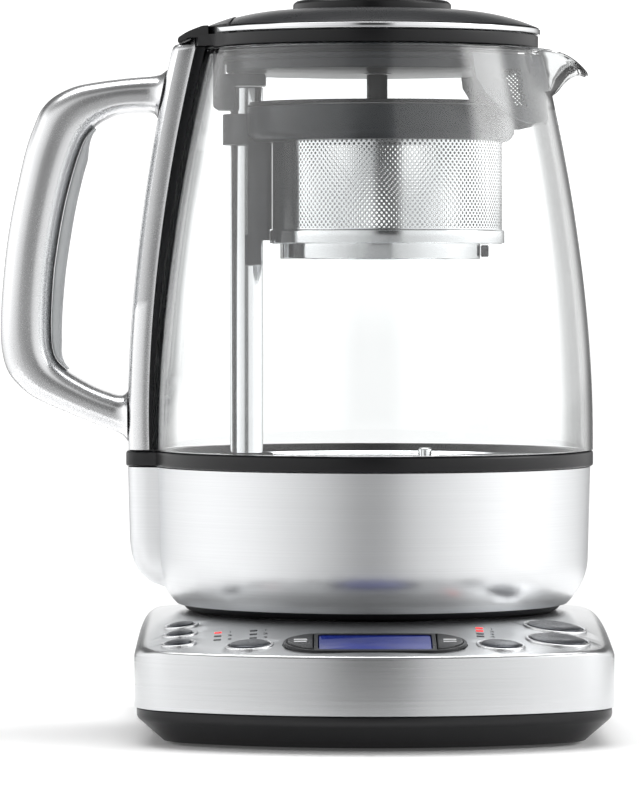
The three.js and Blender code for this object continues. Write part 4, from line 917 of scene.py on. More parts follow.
# A key's profile: its dome as shares of its radius, then places out from its radius and up from the
# panel. The large keys are dished, with their own places inside the shoulder
KEY_DOME_SHARES = [0, 0.3, 0.55, 0.75, 0.88]
KEY_SHOULDER = 0.75
KEY_DOME_RISE = 0.85
KEY_SIDE = [(-0.45, 0.7), (-0.05, 0.1), (0, -0.6), (0, -1.95), (1.3, -1.95), (1.3, -2.95)]
KEY_STEM = 1.8
DISHED_KEY_RADIUS = 9.0
DISH = [(0, 0.75), (0.3, 0.8), (0.62, 1.3)]
RIM_INNER_GAP = 0.35
RIM_OUTER_GAP = 1.45
RIM_BOTTOM = -0.6
RIM_TOP = 0.55
BOARD_GAP = 1.5


def stem_end(where):
    """The end of a key's stem, just short of the control board, in the key's own frame."""
    return span("control_board")[1].z + BOARD_GAP - where.translation.z


class TEAMAKER_OT_round_keys(bpy.types.Operator):
    """Model the domed round keys"""

    bl_idname = "tea_maker.round_keys"
    bl_label = "Round Keys"

    def execute(self, context):
        for node, body, radius, side, deep in ROUND_KEYS:
            where = key_frame(side, deep)
            end = stem_end(where)
            profile = [(radius * share, KEY_SHOULDER + KEY_DOME_RISE * (1 - share**2))
                       for share in KEY_DOME_SHARES]
            if radius > DISHED_KEY_RADIUS:
                profile[:len(DISH)] = [(radius * share, height) for share, height in DISH]
            profile += [(radius + out, up) for out, up in KEY_SIDE]
            profile += [(KEY_STEM, KEY_SIDE[-1][1]), (KEY_STEM, end), (0, end)]
            key = placed(turned(f"cap_{node}", profile, sides=SMALL_STEPS), where)
            settle(key, "key_metal", body, "button", node)
            rim = hoop(f"rim_{node}", radius + RIM_INNER_GAP, radius + RIM_OUTER_GAP, RIM_BOTTOM, RIM_TOP,
                       sides=SMALL_STEPS, edge=0.5)
            settle(placed(rim, where), "satin_metal", "power_base", "brushed_steel")
        return {"FINISHED"}


# The keys at the display's ends and the two bars on each
OVAL_BORDER = 1.0
SCREEN_BORDER = 1.3
END_KEY_TOP = 0.9
BAR_HALF_LENGTH = 2.2
BAR_HALF_WIDTH = 0.6
BAR_CORNER = 0.3
BAR_SHIFT = 1.6
BAR_INSET = 0.6
BAR_BOTTOM = 0.8
BAR_TOP = 1.05


def oval_end(side, grow):
    """The outline of the key at one end of the display, moved out by a clearance."""
    radius = DISPLAY_RADIUS - OVAL_BORDER - SEAT_GAP + grow
    centre = DISPLAY_HALF_LENGTH - DISPLAY_RADIUS
    edge = SCREEN_HALF_LENGTH + SCREEN_BORDER + SEAT_GAP - grow
    half = math.acos((edge - centre) / radius)
    points = arc(centre, 0, radius, -half, half, OVAL_STEPS)
    return points if side > 0 else [Vector((-point.x, point.y)) for point in reversed(points)]


class TEAMAKER_OT_display(bpy.types.Operator):
    """Model the oval bezel, the blue display and the two keys at its ends"""

    bl_idname = "tea_maker.display"
    bl_label = "Display"

    def execute(self, context):
        where = key_frame(0, DISPLAY_DEPTH_SHARE)
        depth = DISPLAY_THICKNESS
        outline = stadium(DISPLAY_HALF_LENGTH, DISPLAY_RADIUS)
        bezel = slab("oval_bezel", outline, DISPLAY_PROUD - depth, DISPLAY_PROUD, 0.35)
        window = rounded_box(SCREEN_HALF_LENGTH, SCREEN_HALF_WIDTH, SCREEN_CORNER)
        tools = [slab("hole", points, -depth - OVERRUN, OVERRUN)
                 for points in (window, oval_end(1, SEAT_GAP), oval_end(-1, SEAT_GAP))]
        cut_away(bezel, *tools)
        settle(placed(bezel, where), "dark_plastic", "power_base", "dark_plastic", "display_bezel")
        inner = rounded_box(SCREEN_HALF_LENGTH - SEAT_GAP, SCREEN_HALF_WIDTH - SEAT_GAP, SCREEN_CORNER)
        screen = slab("blue_display", inner, DISPLAY_PROUD - depth, DISPLAY_PROUD - SCREEN_SUNK, 0.25)
        settle(placed(screen, where), "lit_display", "power_base", "display", "display_screen")
        for node, body, side in (("button_minus", "minus_key", -1), ("button_plus", "plus_key", 1)):
            cap = slab(f"cap_{node}", oval_end(side, 0), -depth, END_KEY_TOP, 0.4)
            centre = side * (SCREEN_HALF_LENGTH + SCREEN_BORDER + DISPLAY_HALF_LENGTH) / 2
            joined(cap, disc("stem", KEY_STEM, stem_end(where), -depth / 2, centre, 0, OVAL_STEPS))
            settle(placed(cap, where), "dark_plastic", body, "button", node)
            bar = rounded_box(BAR_HALF_LENGTH, BAR_HALF_WIDTH, BAR_CORNER)
            bars = [slab("bar", [point + Vector((0, shift)) for point in bar], BAR_BOTTOM, BAR_TOP)
                    for shift in (-BAR_SHIFT, BAR_SHIFT)]
            mark = gathered(f"mark_{node}", bars)
            mark.data.transform(Matrix.Translation((centre - side * BAR_INSET, 0, 0)))
            settle(placed(mark, where), "white_mark", body, "pale_plastic")
        return {"FINISHED"}


# Lamps on the panel: distance from the middle and depth towards the front
LAMP_COLUMNS = [(-53.5, [76.5, 82.9, 89.5]), (-41.3, [77.5, 83.8, 90.2]), (36.0, [75.0, 79.5, 84.5, 88.8])]
LIT_LAMPS = {(0, 0), (2, 0), (2, 1)}
LAMP_HALF_LENGTH = 1.3
LAMP_HALF_WIDTH = 0.85
LAMP_CORNER = 0.4
LAMP_SUNK = 0.4
LAMP_PROUD = 0.16
NUMBER_ASIDE = 4.2
NUMBER_LIFT = 0.02
NUMBER_SIZE = 3.6
NUMBER_HALF_THICKNESS = 0.03


class TEAMAKER_OT_panel_marks(bpy.types.Operator):
    """Model the indicator lamps and the plain numbers beside them"""

    bl_idname = "tea_maker.panel_marks"
    bl_label = "Panel Marks"

    def execute(self, context):
        for column, (x, depths) in enumerate(LAMP_COLUMNS):
            for row, deep in enumerate(depths):
                where = panel_frame(x, -deep)
                outline = rounded_box(LAMP_HALF_LENGTH, LAMP_HALF_WIDTH, LAMP_CORNER)
                dot = slab("dot", outline, -LAMP_SUNK, LAMP_PROUD, 0.06)
                look = "lamp_red" if (column, row) in LIT_LAMPS else "lamp_unlit"
                settle(placed(dot, where), look, "power_base", "display").name = f"lamp_{column}_{row}"
                number = self.number(str(row + 1), panel_frame(x + NUMBER_ASIDE, -deep, NUMBER_LIFT))
                settle(number, "lamp_unlit", "power_base", "black_plastic").name = f"number_{column}_{row}"
        return {"FINISHED"}

    def number(self, text, where):
        """A plain number, as thin as print, flat on the panel."""
        clear_selection()
        bpy.ops.object.text_add()
        words = bpy.context.object
        words.data.body = text
        words.data.size = NUMBER_SIZE
        words.data.extrude = NUMBER_HALF_THICKNESS
        words.data.align_x = "CENTER"
        words.data.align_y = "CENTER"
        bpy.ops.object.convert(target="MESH")
        return placed(bpy.context.object, where)


# The jug
def box_reach(angle, reach, half_width, corner):
    """Distance from the axis to a rounded box that reaches back from it."""
    off = abs(abs(math.remainder(angle, TURN)) - HALF_TURN)
    if off > HALF_TURN / 3:
        return 0.0
    along, across = math.cos(off), math.sin(off)
    corner_x, corner_y = reach - corner, half_width - corner
    if across / along <= corner_y / reach:
        return reach / along
    if along / across <= corner_x / half_width:
        return half_width / across
    side = corner_x * across - corner_y * along
    return corner_x * along + corner_y * across + math.sqrt(corner**2 - side**2)


def soft_max(first, second, soft):
    gap = clamp01(0.5 + (first - second) / (2 * soft))
    return mix(second, first, gap) + soft * gap * (1 - gap)


def lobed(radius, reach, half_width, height):
    def place(share):
        angle = share * TURN
        far = box_reach(angle, radius + reach, half_width, LOBE_CORNER)
        return at_angle(soft_max(far, radius, LOBE_SOFTNESS) if reach > 0 else radius, angle, height)
    return place


def body_radius(height):
    foot = JUG_FOOT_RADIUS + SEAT_GAP + BODY_WALL
    up = clamp01((height - BODY_BOTTOM) / BODY_CURVE_HEIGHT)
    low = mix(foot, BODY_RADIUS_LOW, 1 - (1 - up) ** BODY_CURVE_POWER)
    curve_top = BODY_BOTTOM + BODY_CURVE_HEIGHT
    return mix(low, BODY_RADIUS_TOP, clamp01((height - curve_top) / (BODY_TOP - curve_top)))


def lobe_out(height):
    up = clamp01((height - LOBE_CURVE_BOTTOM) / (LOBE_CURVE_TOP - LOBE_CURVE_BOTTOM))
    return LOBE_REACH * math.sqrt(1 - (1 - up) ** 2)


# The body's rings lie closer together near its foot
BODY_STEPS = 30
BODY_STEP_POWER = 1.3
FOOT_BORE = 23.7
FOOT_TREAD_RADIUS = 60.2
FOOT_TREAD_HEIGHT = 1.0
FOOT_TAPER = 2.2
FOOT_EDGE = 1.0


class TEAMAKER_OT_jug_body(bpy.types.Operator):
    """Model the steel wall of the jug with its lobe, and the black foot"""

    bl_idname = "tea_maker.jug_body"
    bl_label = "Jug Body and Foot"

    def execute(self, context):
        heights = [mix(BODY_BOTTOM, BODY_TOP, (i / BODY_STEPS) ** BODY_STEP_POWER)
                   for i in range(BODY_STEPS + 1)]
        outer = [lobed(body_radius(z), lobe_out(z), LOBE_HALF_WIDTH, z) for z in heights]
        inner = [lobed(body_radius(z) - BODY_WALL, lobe_out(z), LOBE_HALF_WIDTH - BODY_WALL, z)
                 for z in reversed(heights[::3])]
        body = lofted("jug_steel", outer + inner, JUG_STEPS, comes_back=True)
        settle(body, "brushed_steel", "jug", "brushed_steel", "jug_body")
        low, high = span("jug_foot")
        hollow = low.z + FOOT_TREAD_HEIGHT
        profile = [(FOOT_BORE, hollow), (FOOT_TREAD_RADIUS, hollow), (FOOT_TREAD_RADIUS, low.z),
                   (JUG_FOOT_RADIUS - FOOT_TAPER, low.z), (JUG_FOOT_RADIUS, high.z - FOOT_EDGE),
                   (JUG_FOOT_RADIUS, high.z), (FOOT_BORE, high.z)]
        edges = [0.3, 0.4, 0.8, 1.2, 0.8, 0.3, 0.3]
        foot = turned("foot_ring", bored(filleted(profile, edges, closed=True)))
        settle(foot, "black_plastic", "jug", "black_plastic", "jug_foot")
        return {"FINISHED"}


WALL_SEAL_DEPTH = 7.0
WALL_SEAL_REACH = 8.6


class TEAMAKER_OT_wall_seal(bpy.types.Operator):
    """Model the dark seal between the steel and the glass"""

    bl_idname = "tea_maker.wall_seal"
    bl_label = "Wall Seal"

    def execute(self, context):
        low, high = span("wall_seal")
        outline = [(0, low.z), (0, high.z), (-WALL_SEAL_DEPTH, high.z), (-WALL_SEAL_DEPTH, low.z)]
        rings = []
        for inset, height in filleted(outline, [0.9, 1.1, 0.3, 0.3], closed=True):
            reach = WALL_SEAL_REACH if inset > -WALL_SEAL_DEPTH / 2 else 0
            rings.append(lobed(GLASS_RADIUS + inset, reach, LOBE_HALF_WIDTH + inset, height))
        seal = lofted("dark_seal", rings, JUG_STEPS, comes_back=True)
        settle(seal, "black_plastic", "jug", "rubber", "wall_seal")
        return {"FINISHED"}


def glass_outer(height):
    up = clamp01((height - GLASS_SHOULDER) / (GLASS_TOP - GLASS_SHOULDER))
    return GLASS_RADIUS - (GLASS_RADIUS - GLASS_RIM_RADIUS) * up**GLASS_LEAN_POWER


# Stations of the lip: share of the way up from the spout's root where the wall is round, and in the
# middle of the spout, of the way out and up to its tip
OUTER_LIP = [
    (0, 0, 0), (0.2, 0.17, 0.23), (0.4, 0.34, 0.58), (0.6, 0.575, 0.87), (0.8, 0.775, 0.96),
    (0.92, 0.92, 0.88), (1, 1, 1.06),
]
INNER_LIP = [
    (0, -0.18, 0.2), (0.15, 0, 0.48), (0.35, 0.18, 0.83), (0.6, 0.48, 1.19), (0.85, 0.775, 1.31),
    (1, 0.935, 1.26),
]
OUTER_LIP_STEPS = 18
INNER_LIP_STEPS = 16
GLASS_STEPS = 216
GLASS_LEVELS = 24
BEAD_STEPS = 8
BEAD_DROP = 0.9
BEAD_FULLNESS_SHARE = 0.65


def lip_place(station, inset, angle):
    """A place on the glass above the spout's root."""
    rise, out, up = station
    off = abs(math.remainder(angle, TURN)) / SPOUT_HALF_ANGLE
    pull = math.cos(off * QUARTER) ** 2 if off < 1 else 0.0
    height = mix(SPOUT_ROOT, GLASS_TOP, rise)
    reach = mix(glass_outer(SPOUT_ROOT), SPOUT_TIP_RADIUS, out)
    level = mix(height, mix(SPOUT_ROOT, SPOUT_TIP_HEIGHT, up), pull**3)
    return at_angle(mix(glass_outer(height) - inset, reach, pull), angle, level)


class TEAMAKER_OT_glass(bpy.types.Operator):
    """Model the glass with its poured lip"""

    bl_idname = "tea_maker.glass"
    bl_label = "Glass"

    def execute(self, context):
        wall = sizes().glass_wall / MM

        def wall_ring(height, inset):
            return lambda share: at_angle(glass_outer(height) - inset, share * TURN, height)

        def lip_ring(station, inset):
            return lambda share: lip_place(station, inset, share * TURN)

        def bead(step):
            turn = step / BEAD_STEPS * HALF_TURN

            def place(share):
                angle = share * TURN
                start = lip_place(outer[-1], 0, angle) - Vector((0, 0, BEAD_DROP))
                end = lip_place(inner[-1], wall, angle) - Vector((0, 0, BEAD_DROP))
                half = (end - start) / 2
                along = half.x * math.cos(angle) + half.y * math.sin(angle)
                out = at_angle(half.z, angle, -along) * BEAD_FULLNESS_SHARE
                return (start + end) / 2 - half * math.cos(turn) + out * math.sin(turn)
            return place

        outer = spline_points([Vector(station) for station in OUTER_LIP], OUTER_LIP_STEPS)[1:]
        inner = spline_points([Vector(station) for station in INNER_LIP], INNER_LIP_STEPS)[1:]
        heights = [mix(GLASS_BOTTOM, SPOUT_ROOT, i / GLASS_LEVELS) for i in range(GLASS_LEVELS + 1)]
        rings = [wall_ring(height, 0) for height in heights] + [lip_ring(s, 0) for s in outer[:-1]]
        rings += [bead(step) for step in range(BEAD_STEPS + 1)]
        rings += [lip_ring(s, wall) for s in reversed(inner[:-1])]
        rings += [wall_ring(height, wall) for height in reversed(heights)]
        glass = lofted("clear_glass", rings, GLASS_STEPS, comes_back=True)
        settle(glass, "clear_glass", "jug", "glass", "jug_glass", sharp=60)
        return {"FINISHED"}


# The filter's lower edge: shares of its half angle, with the share of its height cut away there
FILTER_EDGE = [(0, 0.18), (0.3, 0.06), (0.43, 0), (0.65, 0.01), (0.9, 0.31), (1, 0.64)]
FILTER_EDGE_STEPS = 60
FILTER_ACROSS = 72
FILTER_UP = 18
FILTER_HALF_ANGLE = 0.95
FILTER_WALL = 1.4
FILTER_PITCH = 1.435
FILTER_HOLE = 0.76
FILTER_ROWS = 26
FILTER_COLUMNS = 12

# The field of holes from the side: its lowest and highest row, and its ends in x at each of them
FIELD_BOTTOM = 218.6
FIELD_TOP = 231.4
FIELD_REAR = (48.6, 44.8)
FIELD_FRONT = (52.5, 50.3)
PINS_START = (43.0, 218.2)
PIN_MIDDLE = 40.0
PIN_LENGTH = 50.0


class TEAMAKER_OT_spout_filter(bpy.types.Operator):
    """Model the curved filter behind the spout with its grid of holes"""

    bl_idname = "tea_maker.spout_filter"
    bl_label = "Spout Filter"

    def pins(self, side):
        """Straight pins that leave one side's holes, in a slanting field that is larger on the far side."""
        size = Matrix.Diagonal((FILTER_HOLE, PIN_LENGTH, FILTER_HOLE, 1))
        shape = Matrix.Rotation(QUARTER / 2, 4, "Y") @ size
        pins = []
        for row in range(FILTER_ROWS):
            for column in range(FILTER_COLUMNS):
                x = PINS_START[0] + FILTER_PITCH * (column + row % 2 / 2)
                z = PINS_START[1] + FILTER_PITCH / 2 * row
                beyond = side > 0 and self.pierced(x - 2 * FILTER_PITCH, z - 2 * FILTER_PITCH)
                if self.pierced(x, z) or beyond:
                    clear_selection()
                    bpy.ops.mesh.primitive_cube_add(size=1)
                    pins.append(placed(named("pin"), Matrix.Translation((x, side * PIN_MIDDLE, z)) @ shape))
        return gathered("pins", pins)

    def pierced(self, x, z):
        share = (z - FIELD_BOTTOM) / (FIELD_TOP - FIELD_BOTTOM)
        return 0 <= share <= 1 and mix(*FIELD_REAR, share) < x < mix(*FIELD_FRONT, share)

    def execute(self, context):
        low, high = span("spout_filter")
        inset = sizes().glass_wall / MM + SLIDE_GAP + FILTER_WALL
        edge = spline_points([Vector(point) for point in FILTER_EDGE], FILTER_EDGE_STEPS)

        def low_edge(turn):
            share = abs(turn) / FILTER_HALF_ANGLE
            return mix(low.z, high.z, min(edge, key=lambda point: abs(point.x - share)).y)

        clear_selection()
        bpy.ops.mesh.primitive_grid_add(x_subdivisions=FILTER_ACROSS, y_subdivisions=FILTER_UP, size=2)
        panel = named("spout_filter_panel")
        for vertex in panel.data.vertices:
            turn = vertex.co.x * FILTER_HALF_ANGLE
            height = mix(low_edge(turn), high.z, (vertex.co.y + 1) / 2)
            vertex.co = at_angle(glass_outer(height) - inset, turn, height)
        modified(panel, "SOLIDIFY", thickness=FILTER_WALL, offset=1)
        mend(panel)
        cut_away(panel, self.pins(-1), self.pins(1))
        settle(panel, "slate_plastic", "jug", "slate_plastic", "spout_filter")
        return {"FINISHED"}


# The steel floor, with a groove over the heating element, and what stands in it
PLATE_RADIUS = 71.5
PLATE_RIM = 1.3
PLATE_RIM_SLOPE = 1.2
PLATE_THICKNESS = 1.5
GROOVE_RADIUS = 46.0
GROOVE_HALF_WIDTH = 2.0
GROOVE_DEPTH = 0.5
PROBE_RADIUS = 2.5
PROBE_FLANGE = 4.0
PILLAR_RADIUS = 5.9
PILLAR_WALL = 0.6
PILLAR_FLANGE = 9.5


class TEAMAKER_OT_heater_floor(bpy.types.Operator):
    """Model the steel floor of the jug, the temperature probe and the pillar with its seal"""

    bl_idname = "tea_maker.heater_floor"
    bl_label = "Heater Floor and Pillar"

    def execute(self, context):
        low, high = span("heater_plate")
        top = low.z + PLATE_THICKNESS
        rim = PLATE_RADIUS - PLATE_RIM
        profile = [(0, low.z), (PLATE_RADIUS, low.z), (PLATE_RADIUS, high.z), (rim, high.z),
                   (rim - PLATE_RIM_SLOPE, top), (GROOVE_RADIUS + GROOVE_HALF_WIDTH, top),
                   (GROOVE_RADIUS, top - GROOVE_DEPTH), (GROOVE_RADIUS - GROOVE_HALF_WIDTH, top), (0, top)]
        plate = turned("steel_floor", filleted(profile, [0, 0.3, 0.5, 0.5, 1, 1, 1, 1, 0]))
        probe = middle("temperature_probe")
        cut_away(plate, drill(PILLAR_RADIUS + SEAT_GAP, low, high, PILLAR_X),
                 drill(PROBE_RADIUS + SEAT_GAP, low, high, probe.x, probe.y, THIN_STEPS))
        settle(plate, "polished_steel", "jug", "polished_steel", "heater_plate")
        self.probe(probe, low.z - SEAT_GAP)
        self.pillar(low.z - SEAT_GAP)
        return {"FINISHED"}

    def probe(self, centre, under):
        low, high = span("temperature_probe")
        profile = [(0, low.z), (PROBE_FLANGE, low.z), (PROBE_FLANGE, under), (PROBE_RADIUS, under),
                   (PROBE_RADIUS, high.z), (0, high.z)]
        outline = filleted(profile, [0, 0.4, 0.4, 0.2, 1.4, 0])
        probe = turned("steel_probe", outline, centre.x, centre.y, THIN_STEPS)
        settle(probe, "polished_steel", "jug", "polished_steel", "temperature_probe")

    def pillar(self, under):
        low, high = span("pillar")
        bore, roof = PILLAR_RADIUS - PILLAR_WALL, high.z - PILLAR_WALL
        profile = [(bore, low.z), (PILLAR_FLANGE, low.z), (PILLAR_FLANGE, under), (PILLAR_RADIUS, under),
                   (PILLAR_RADIUS, high.z), (0, high.z), (0, roof), (bore, roof)]
        edges = [0.2, 0.3, 0.3, 0.1, 0.6, 0, 0, 0.3]
        outline = bored(filleted(profile, edges, closed=True))
        pillar = turned("steel_pillar", outline, PILLAR_X, 0, TUBE_STEPS)
        settle(pillar, "polished_steel", "jug", "polished_steel", "pillar")
        low, high = span("pillar_seal")
        seal = hoop("ring_seal", PILLAR_RADIUS + SEAT_GAP, high.x - PILLAR_X, low.z, high.z, PILLAR_X, 0,
                    TUBE_STEPS, 0.7)
        settle(seal, "rubber", "jug", "rubber", "pillar_seal")


# Spine and handle
SPINE_BOTTOM = span("spine")[0].z
SPINE_TOP = span("spine")[1].z
SPINE_HALF_WIDTH = 17.0
SPINE_CORNER = 5.0
SPINE_TOP_FALL = 1.8
SPINE_TOP_ROUND = 2.5
SPINE_STEPS = 40
SPINE_TOP_STEPS = 6
LINER_HALF_WIDTH = 14.5
LINER_CORNER = 1.0
LINER_STEPS = 30
COLUMN_STEPS = 20
COLUMN_SHARE = 0.98

# How far the spine's inner and outer sides stand off the glass, at its bottom and its top
SPINE_INNER_OFFSETS = (1.9, 4.4)
SPINE_OUTER_OFFSETS = (7.6, 10.6)

# The handle's edges as shares of its reach and of its height, from the top down
OUTER_EDGE_SHARES = [
    (0.66, 0.992), (0.762, 0.978), (0.811, 0.965), (0.857, 0.94), (0.888, 0.908), (0.905, 0.872),
    (0.93, 0.8), (0.953, 0.7), (0.971, 0.61), (0.986, 0.507), (0.997, 0.38), (1, 0.29), (0.996, 0.235),
    (0.984, 0.187), (0.96, 0.15), (0.915, 0.11), (0.846, 0.076), (0.757, 0.038),
]
INNER_EDGE_SHARES = [
    (0.665, 0.894), (0.715, 0.877), (0.751, 0.852), (0.775, 0.82), (0.79, 0.782), (0.802, 0.745),
    (0.823, 0.665), (0.838, 0.59), (0.85, 0.515), (0.858, 0.45), (0.864, 0.36), (0.865, 0.29),
    (0.862, 0.245), (0.851, 0.212), (0.828, 0.187), (0.797, 0.165), (0.745, 0.136), (0.69, 0.115),
]
HANDLE_REACH = -span("handle")[0].x
HANDLE_BOTTOM = 102.5
HANDLE_TOP = 231.0
HANDLE_HALF_WIDTH = 12.0
HANDLE_POWER = 0.72
HANDLE_STEPS = 110
HANDLE_AROUND = 56
UPPER_ARM_DEPTH = 13.3
LOWER_ARM_DEPTH = 14.0

# Each arm widens where it meets the spine
FLARE_REACH = 6.0
FLARE = 3.4
FLARE_DEPTH_SHARE = 0.6
FLARE_WIDTH_SHARE = 0.7

# The grip insert lies along a share of the handle's inner edge and thins out at its ends
GRIP_START_SHARE = 0.17
GRIP_TAPER_SHARE = 0.12
GRIP_THIN_SHARE = 0.15
GRIP_DEPTH = 3.9
GRIP_HALF_WIDTH = 7.0
GRIP_POWER = 0.55


def up_spine(height):
    return clamp01((height - SPINE_BOTTOM) / (SPINE_TOP - SPINE_BOTTOM))


def spine_inner(height):
    return glass_outer(height) + mix(*SPINE_INNER_OFFSETS, up_spine(height))


def spine_outer(height):
    return glass_outer(height) + mix(*SPINE_OUTER_OFFSETS, up_spine(height))


def column_ring(inner, outer, half_width, corner, height, fall=0.0):
    """A section of a column behind the glass: a bent inner side and a boxed, rounded outer one."""
    half = math.asin(min(1, half_width / inner)) * COLUMN_SHARE
    turns = [HALF_TURN + mix(-half, half, i / COLUMN_STEPS) for i in range(COLUMN_STEPS + 1)]
    front = []
    for turn in turns:
        reach = max(inner + SEAT_GAP, box_reach(turn, outer, half_width, corner))
        front.append(at_angle(reach, turn, height - fall))
    back = [at_angle(inner, turn, height) for turn in reversed(turns)]
    return ring_from(front + back)


class TEAMAKER_OT_spine(bpy.types.Operator):
    """Model the satin column behind the glass and its dark liner"""

    bl_idname = "tea_maker.spine"
    bl_label = "Spine"

    def execute(self, context):
        around = 2 * (COLUMN_STEPS + 1)
        shoulder = SPINE_TOP - SPINE_TOP_FALL - SPINE_TOP_ROUND
        heights = [mix(SPINE_BOTTOM, shoulder, i / SPINE_STEPS) for i in range(SPINE_STEPS + 1)]
        rings = [column_ring(spine_inner(z), spine_outer(z), SPINE_HALF_WIDTH, SPINE_CORNER, z)
                 for z in heights]
        for i in range(1, SPINE_TOP_STEPS + 1):
            share = i / SPINE_TOP_STEPS
            turn = share * QUARTER
            z = mix(shoulder, SPINE_TOP, share)
            inset = SPINE_TOP_ROUND * (1 - math.cos(turn))
            lower = z - (shoulder + SPINE_TOP_ROUND * math.sin(turn))
            rings.append(column_ring(spine_inner(z), spine_outer(z) - inset, SPINE_HALF_WIDTH - inset * 0.4,
                                     SPINE_CORNER, z, lower))
        spine = lofted("satin_spine", rings, around)
        settle(spine, "satin_metal", "jug", "satin_metal", "spine")
        low, high = span("spine_liner")
        heights = [mix(low.z, high.z, i / LINER_STEPS) for i in range(LINER_STEPS + 1)]
        rings = [column_ring(glass_outer(z) + SEAT_GAP, spine_inner(z) - SEAT_GAP, LINER_HALF_WIDTH,
                             LINER_CORNER, z) for z in heights]
        liner = lofted("dark_liner", rings, around)
        settle(liner, "dark_plastic", "jug", "dark_plastic", "spine_liner")
        return {"FINISHED"}


SPLINE_STEPS = 12


def spline_points(points, count):
    """Points at even shares along a smooth curve through others."""
    dense = []
    for i in range(len(points) - 1):
        p0 = points[i - 1] if i else points[0] * 2 - points[1]
        p1, p2 = points[i], points[i + 1]
        p3 = points[i + 2] if i + 2 < len(points) else p2 * 2 - p1
        for step in range(SPLINE_STEPS):
            t = step / SPLINE_STEPS
            dense.append(0.5 * ((2 * p1) + (p2 - p0) * t + (2 * p0 - 5 * p1 + 4 * p2 - p3) * t * t
                                + (3 * p1 - p0 - 3 * p2 + p3) * t**3))
    dense.append(points[-1])
    reach = [0.0]
    for before, after in zip(dense, dense[1:]):
        reach.append(reach[-1] + (after - before).length)
    result, k = [], 0
    for i in range(count + 1):
        want = reach[-1] * i / count
        while k < len(reach) - 2 and reach[k + 1] < want:
            k += 1
        share = (want - reach[k]) / max(1e-9, reach[k + 1] - reach[k])
        result.append(dense[k].lerp(dense[k + 1], clamp01(share)))
    return result


def handle_edge(shares, start_height, end_height):
    def face(height):
        return Vector((-spine_outer(height) - SEAT_GAP, 0, height))
    bend = [Vector((-out * HANDLE_REACH, 0, mix(HANDLE_BOTTOM, HANDLE_TOP, up))) for out, up in shares]
    return spline_points([face(start_height)] + bend + [face(end_height)], HANDLE_STEPS)


def section(centre, out, half_width, power):
    """A soft box about a centre, whose one half axis reaches to a point; a lower power is boxier."""
    def place(share):
        turn = share * TURN
        along, across = math.cos(turn), math.sin(turn)
        point = centre.lerp(out, math.copysign(abs(along) ** power, along))
        return point + Vector((0, half_width * math.copysign(abs(across) ** power, across), 0))
    return place


class TEAMAKER_OT_handle(bpy.types.Operator):
    """Model the satin handle and the pale grip insert on its inner side"""

    bl_idname = "tea_maker.handle"
    bl_label = "Handle"

    def execute(self, context):
        outer = handle_edge(OUTER_EDGE_SHARES, HANDLE_TOP, HANDLE_BOTTOM)
        inner = handle_edge(INNER_EDGE_SHARES, HANDLE_TOP - UPPER_ARM_DEPTH, HANDLE_BOTTOM + LOWER_ARM_DEPTH)
        rings = []
        for i in range(HANDLE_STEPS + 1):
            centre = (outer[i] + inner[i]) / 2
            end = outer[0] if i < HANDLE_STEPS / 2 else outer[-1]
            near = clamp01(1 - abs(outer[i].x - end.x) / FLARE_REACH)
            grow = FLARE * (1 - math.sqrt(1 - near * near))
            reach = outer[i] - centre
            out = centre + reach * (1 + grow * FLARE_DEPTH_SHARE / reach.length)
            half_width = HANDLE_HALF_WIDTH + grow * FLARE_WIDTH_SHARE
            rings.append(section(centre, out, half_width, HANDLE_POWER))
        handle = lofted("satin_handle", rings, HANDLE_AROUND)
        settle(handle, "satin_metal", "jug", "satin_metal", "handle")
        start = round(HANDLE_STEPS * GRIP_START_SHARE)
        end = HANDLE_STEPS - start
        rings = []
        for i in range(start, end + 1):
            share = (i - start) / (end - start)
            taper = mix(GRIP_THIN_SHARE, 1, smooth01(min(share, 1 - share) / GRIP_TAPER_SHARE))
            away = (inner[i] - outer[i]).normalized()
            near = inner[i] + away * SEAT_GAP
            far = inner[i] + away * (SEAT_GAP + GRIP_DEPTH * taper)
            rings.append(section((near + far) / 2, near, GRIP_HALF_WIDTH, GRIP_POWER))
        grip = lofted("pale_grip", rings, THIN_STEPS)
        settle(grip, "pale_plastic", "jug", "pale_plastic", "grip_insert")
        return {"FINISHED"}


# The basket
MESH_RADIUS = 41.0
MESH_WALL = 0.5
MESH_BOTTOM = 176.2
MESH_TOP = 207.6
MESH_STEPS = 144
PLAIN_HALF_ANGLE = math.radians(40.5)
PLAIN_STEPS = 28
LIP_BOTTOM = 208.55
LIP_TOP = 209.15
LIP_OVERLAP = 0.05
LIP_WIDTH = 1.6
WALL_ROOM = MESH_RADIUS + SEAT_GAP


def perforated_sheet(name, columns, rows, width, height, radius):
    """A flat sheet of staggered round holes, from one cell that is copied along and up."""
    clear_selection()
    bpy.ops.mesh.primitive_circle_add(vertices=8, radius=radius)
    cell = named(name)
    mesh = bmesh.new()
    slant = radius * math.cos(QUARTER / 2)
    half_x, half_y = width / 2, height / 2

    def spot(x, y):
        return mesh.verts.new((x, y, 0))

    for side_x in (1, -1):
        for side_y in (1, -1):
            corner = [
                (radius, 0), (half_x, 0), (half_x, half_y - radius), (half_x - slant, half_y - slant),
                (half_x - radius, half_y), (0, half_y), (0, radius), (slant, slant),
            ]
            ring = [spot(side_x * x, side_y * y) for x, y in corner]
            for face in ((0, 1, 2, 7), (7, 2, 3), (7, 3, 4), (7, 4, 5, 6)):
                mesh.faces.new([ring[k] for k in face])
    mesh.to_mesh(cell.data)
    mesh.free()
    mend(cell, 1e-4)
    return repeated(repeated(cell, columns, (width, 0, 0)), rows, (0, height, 0))


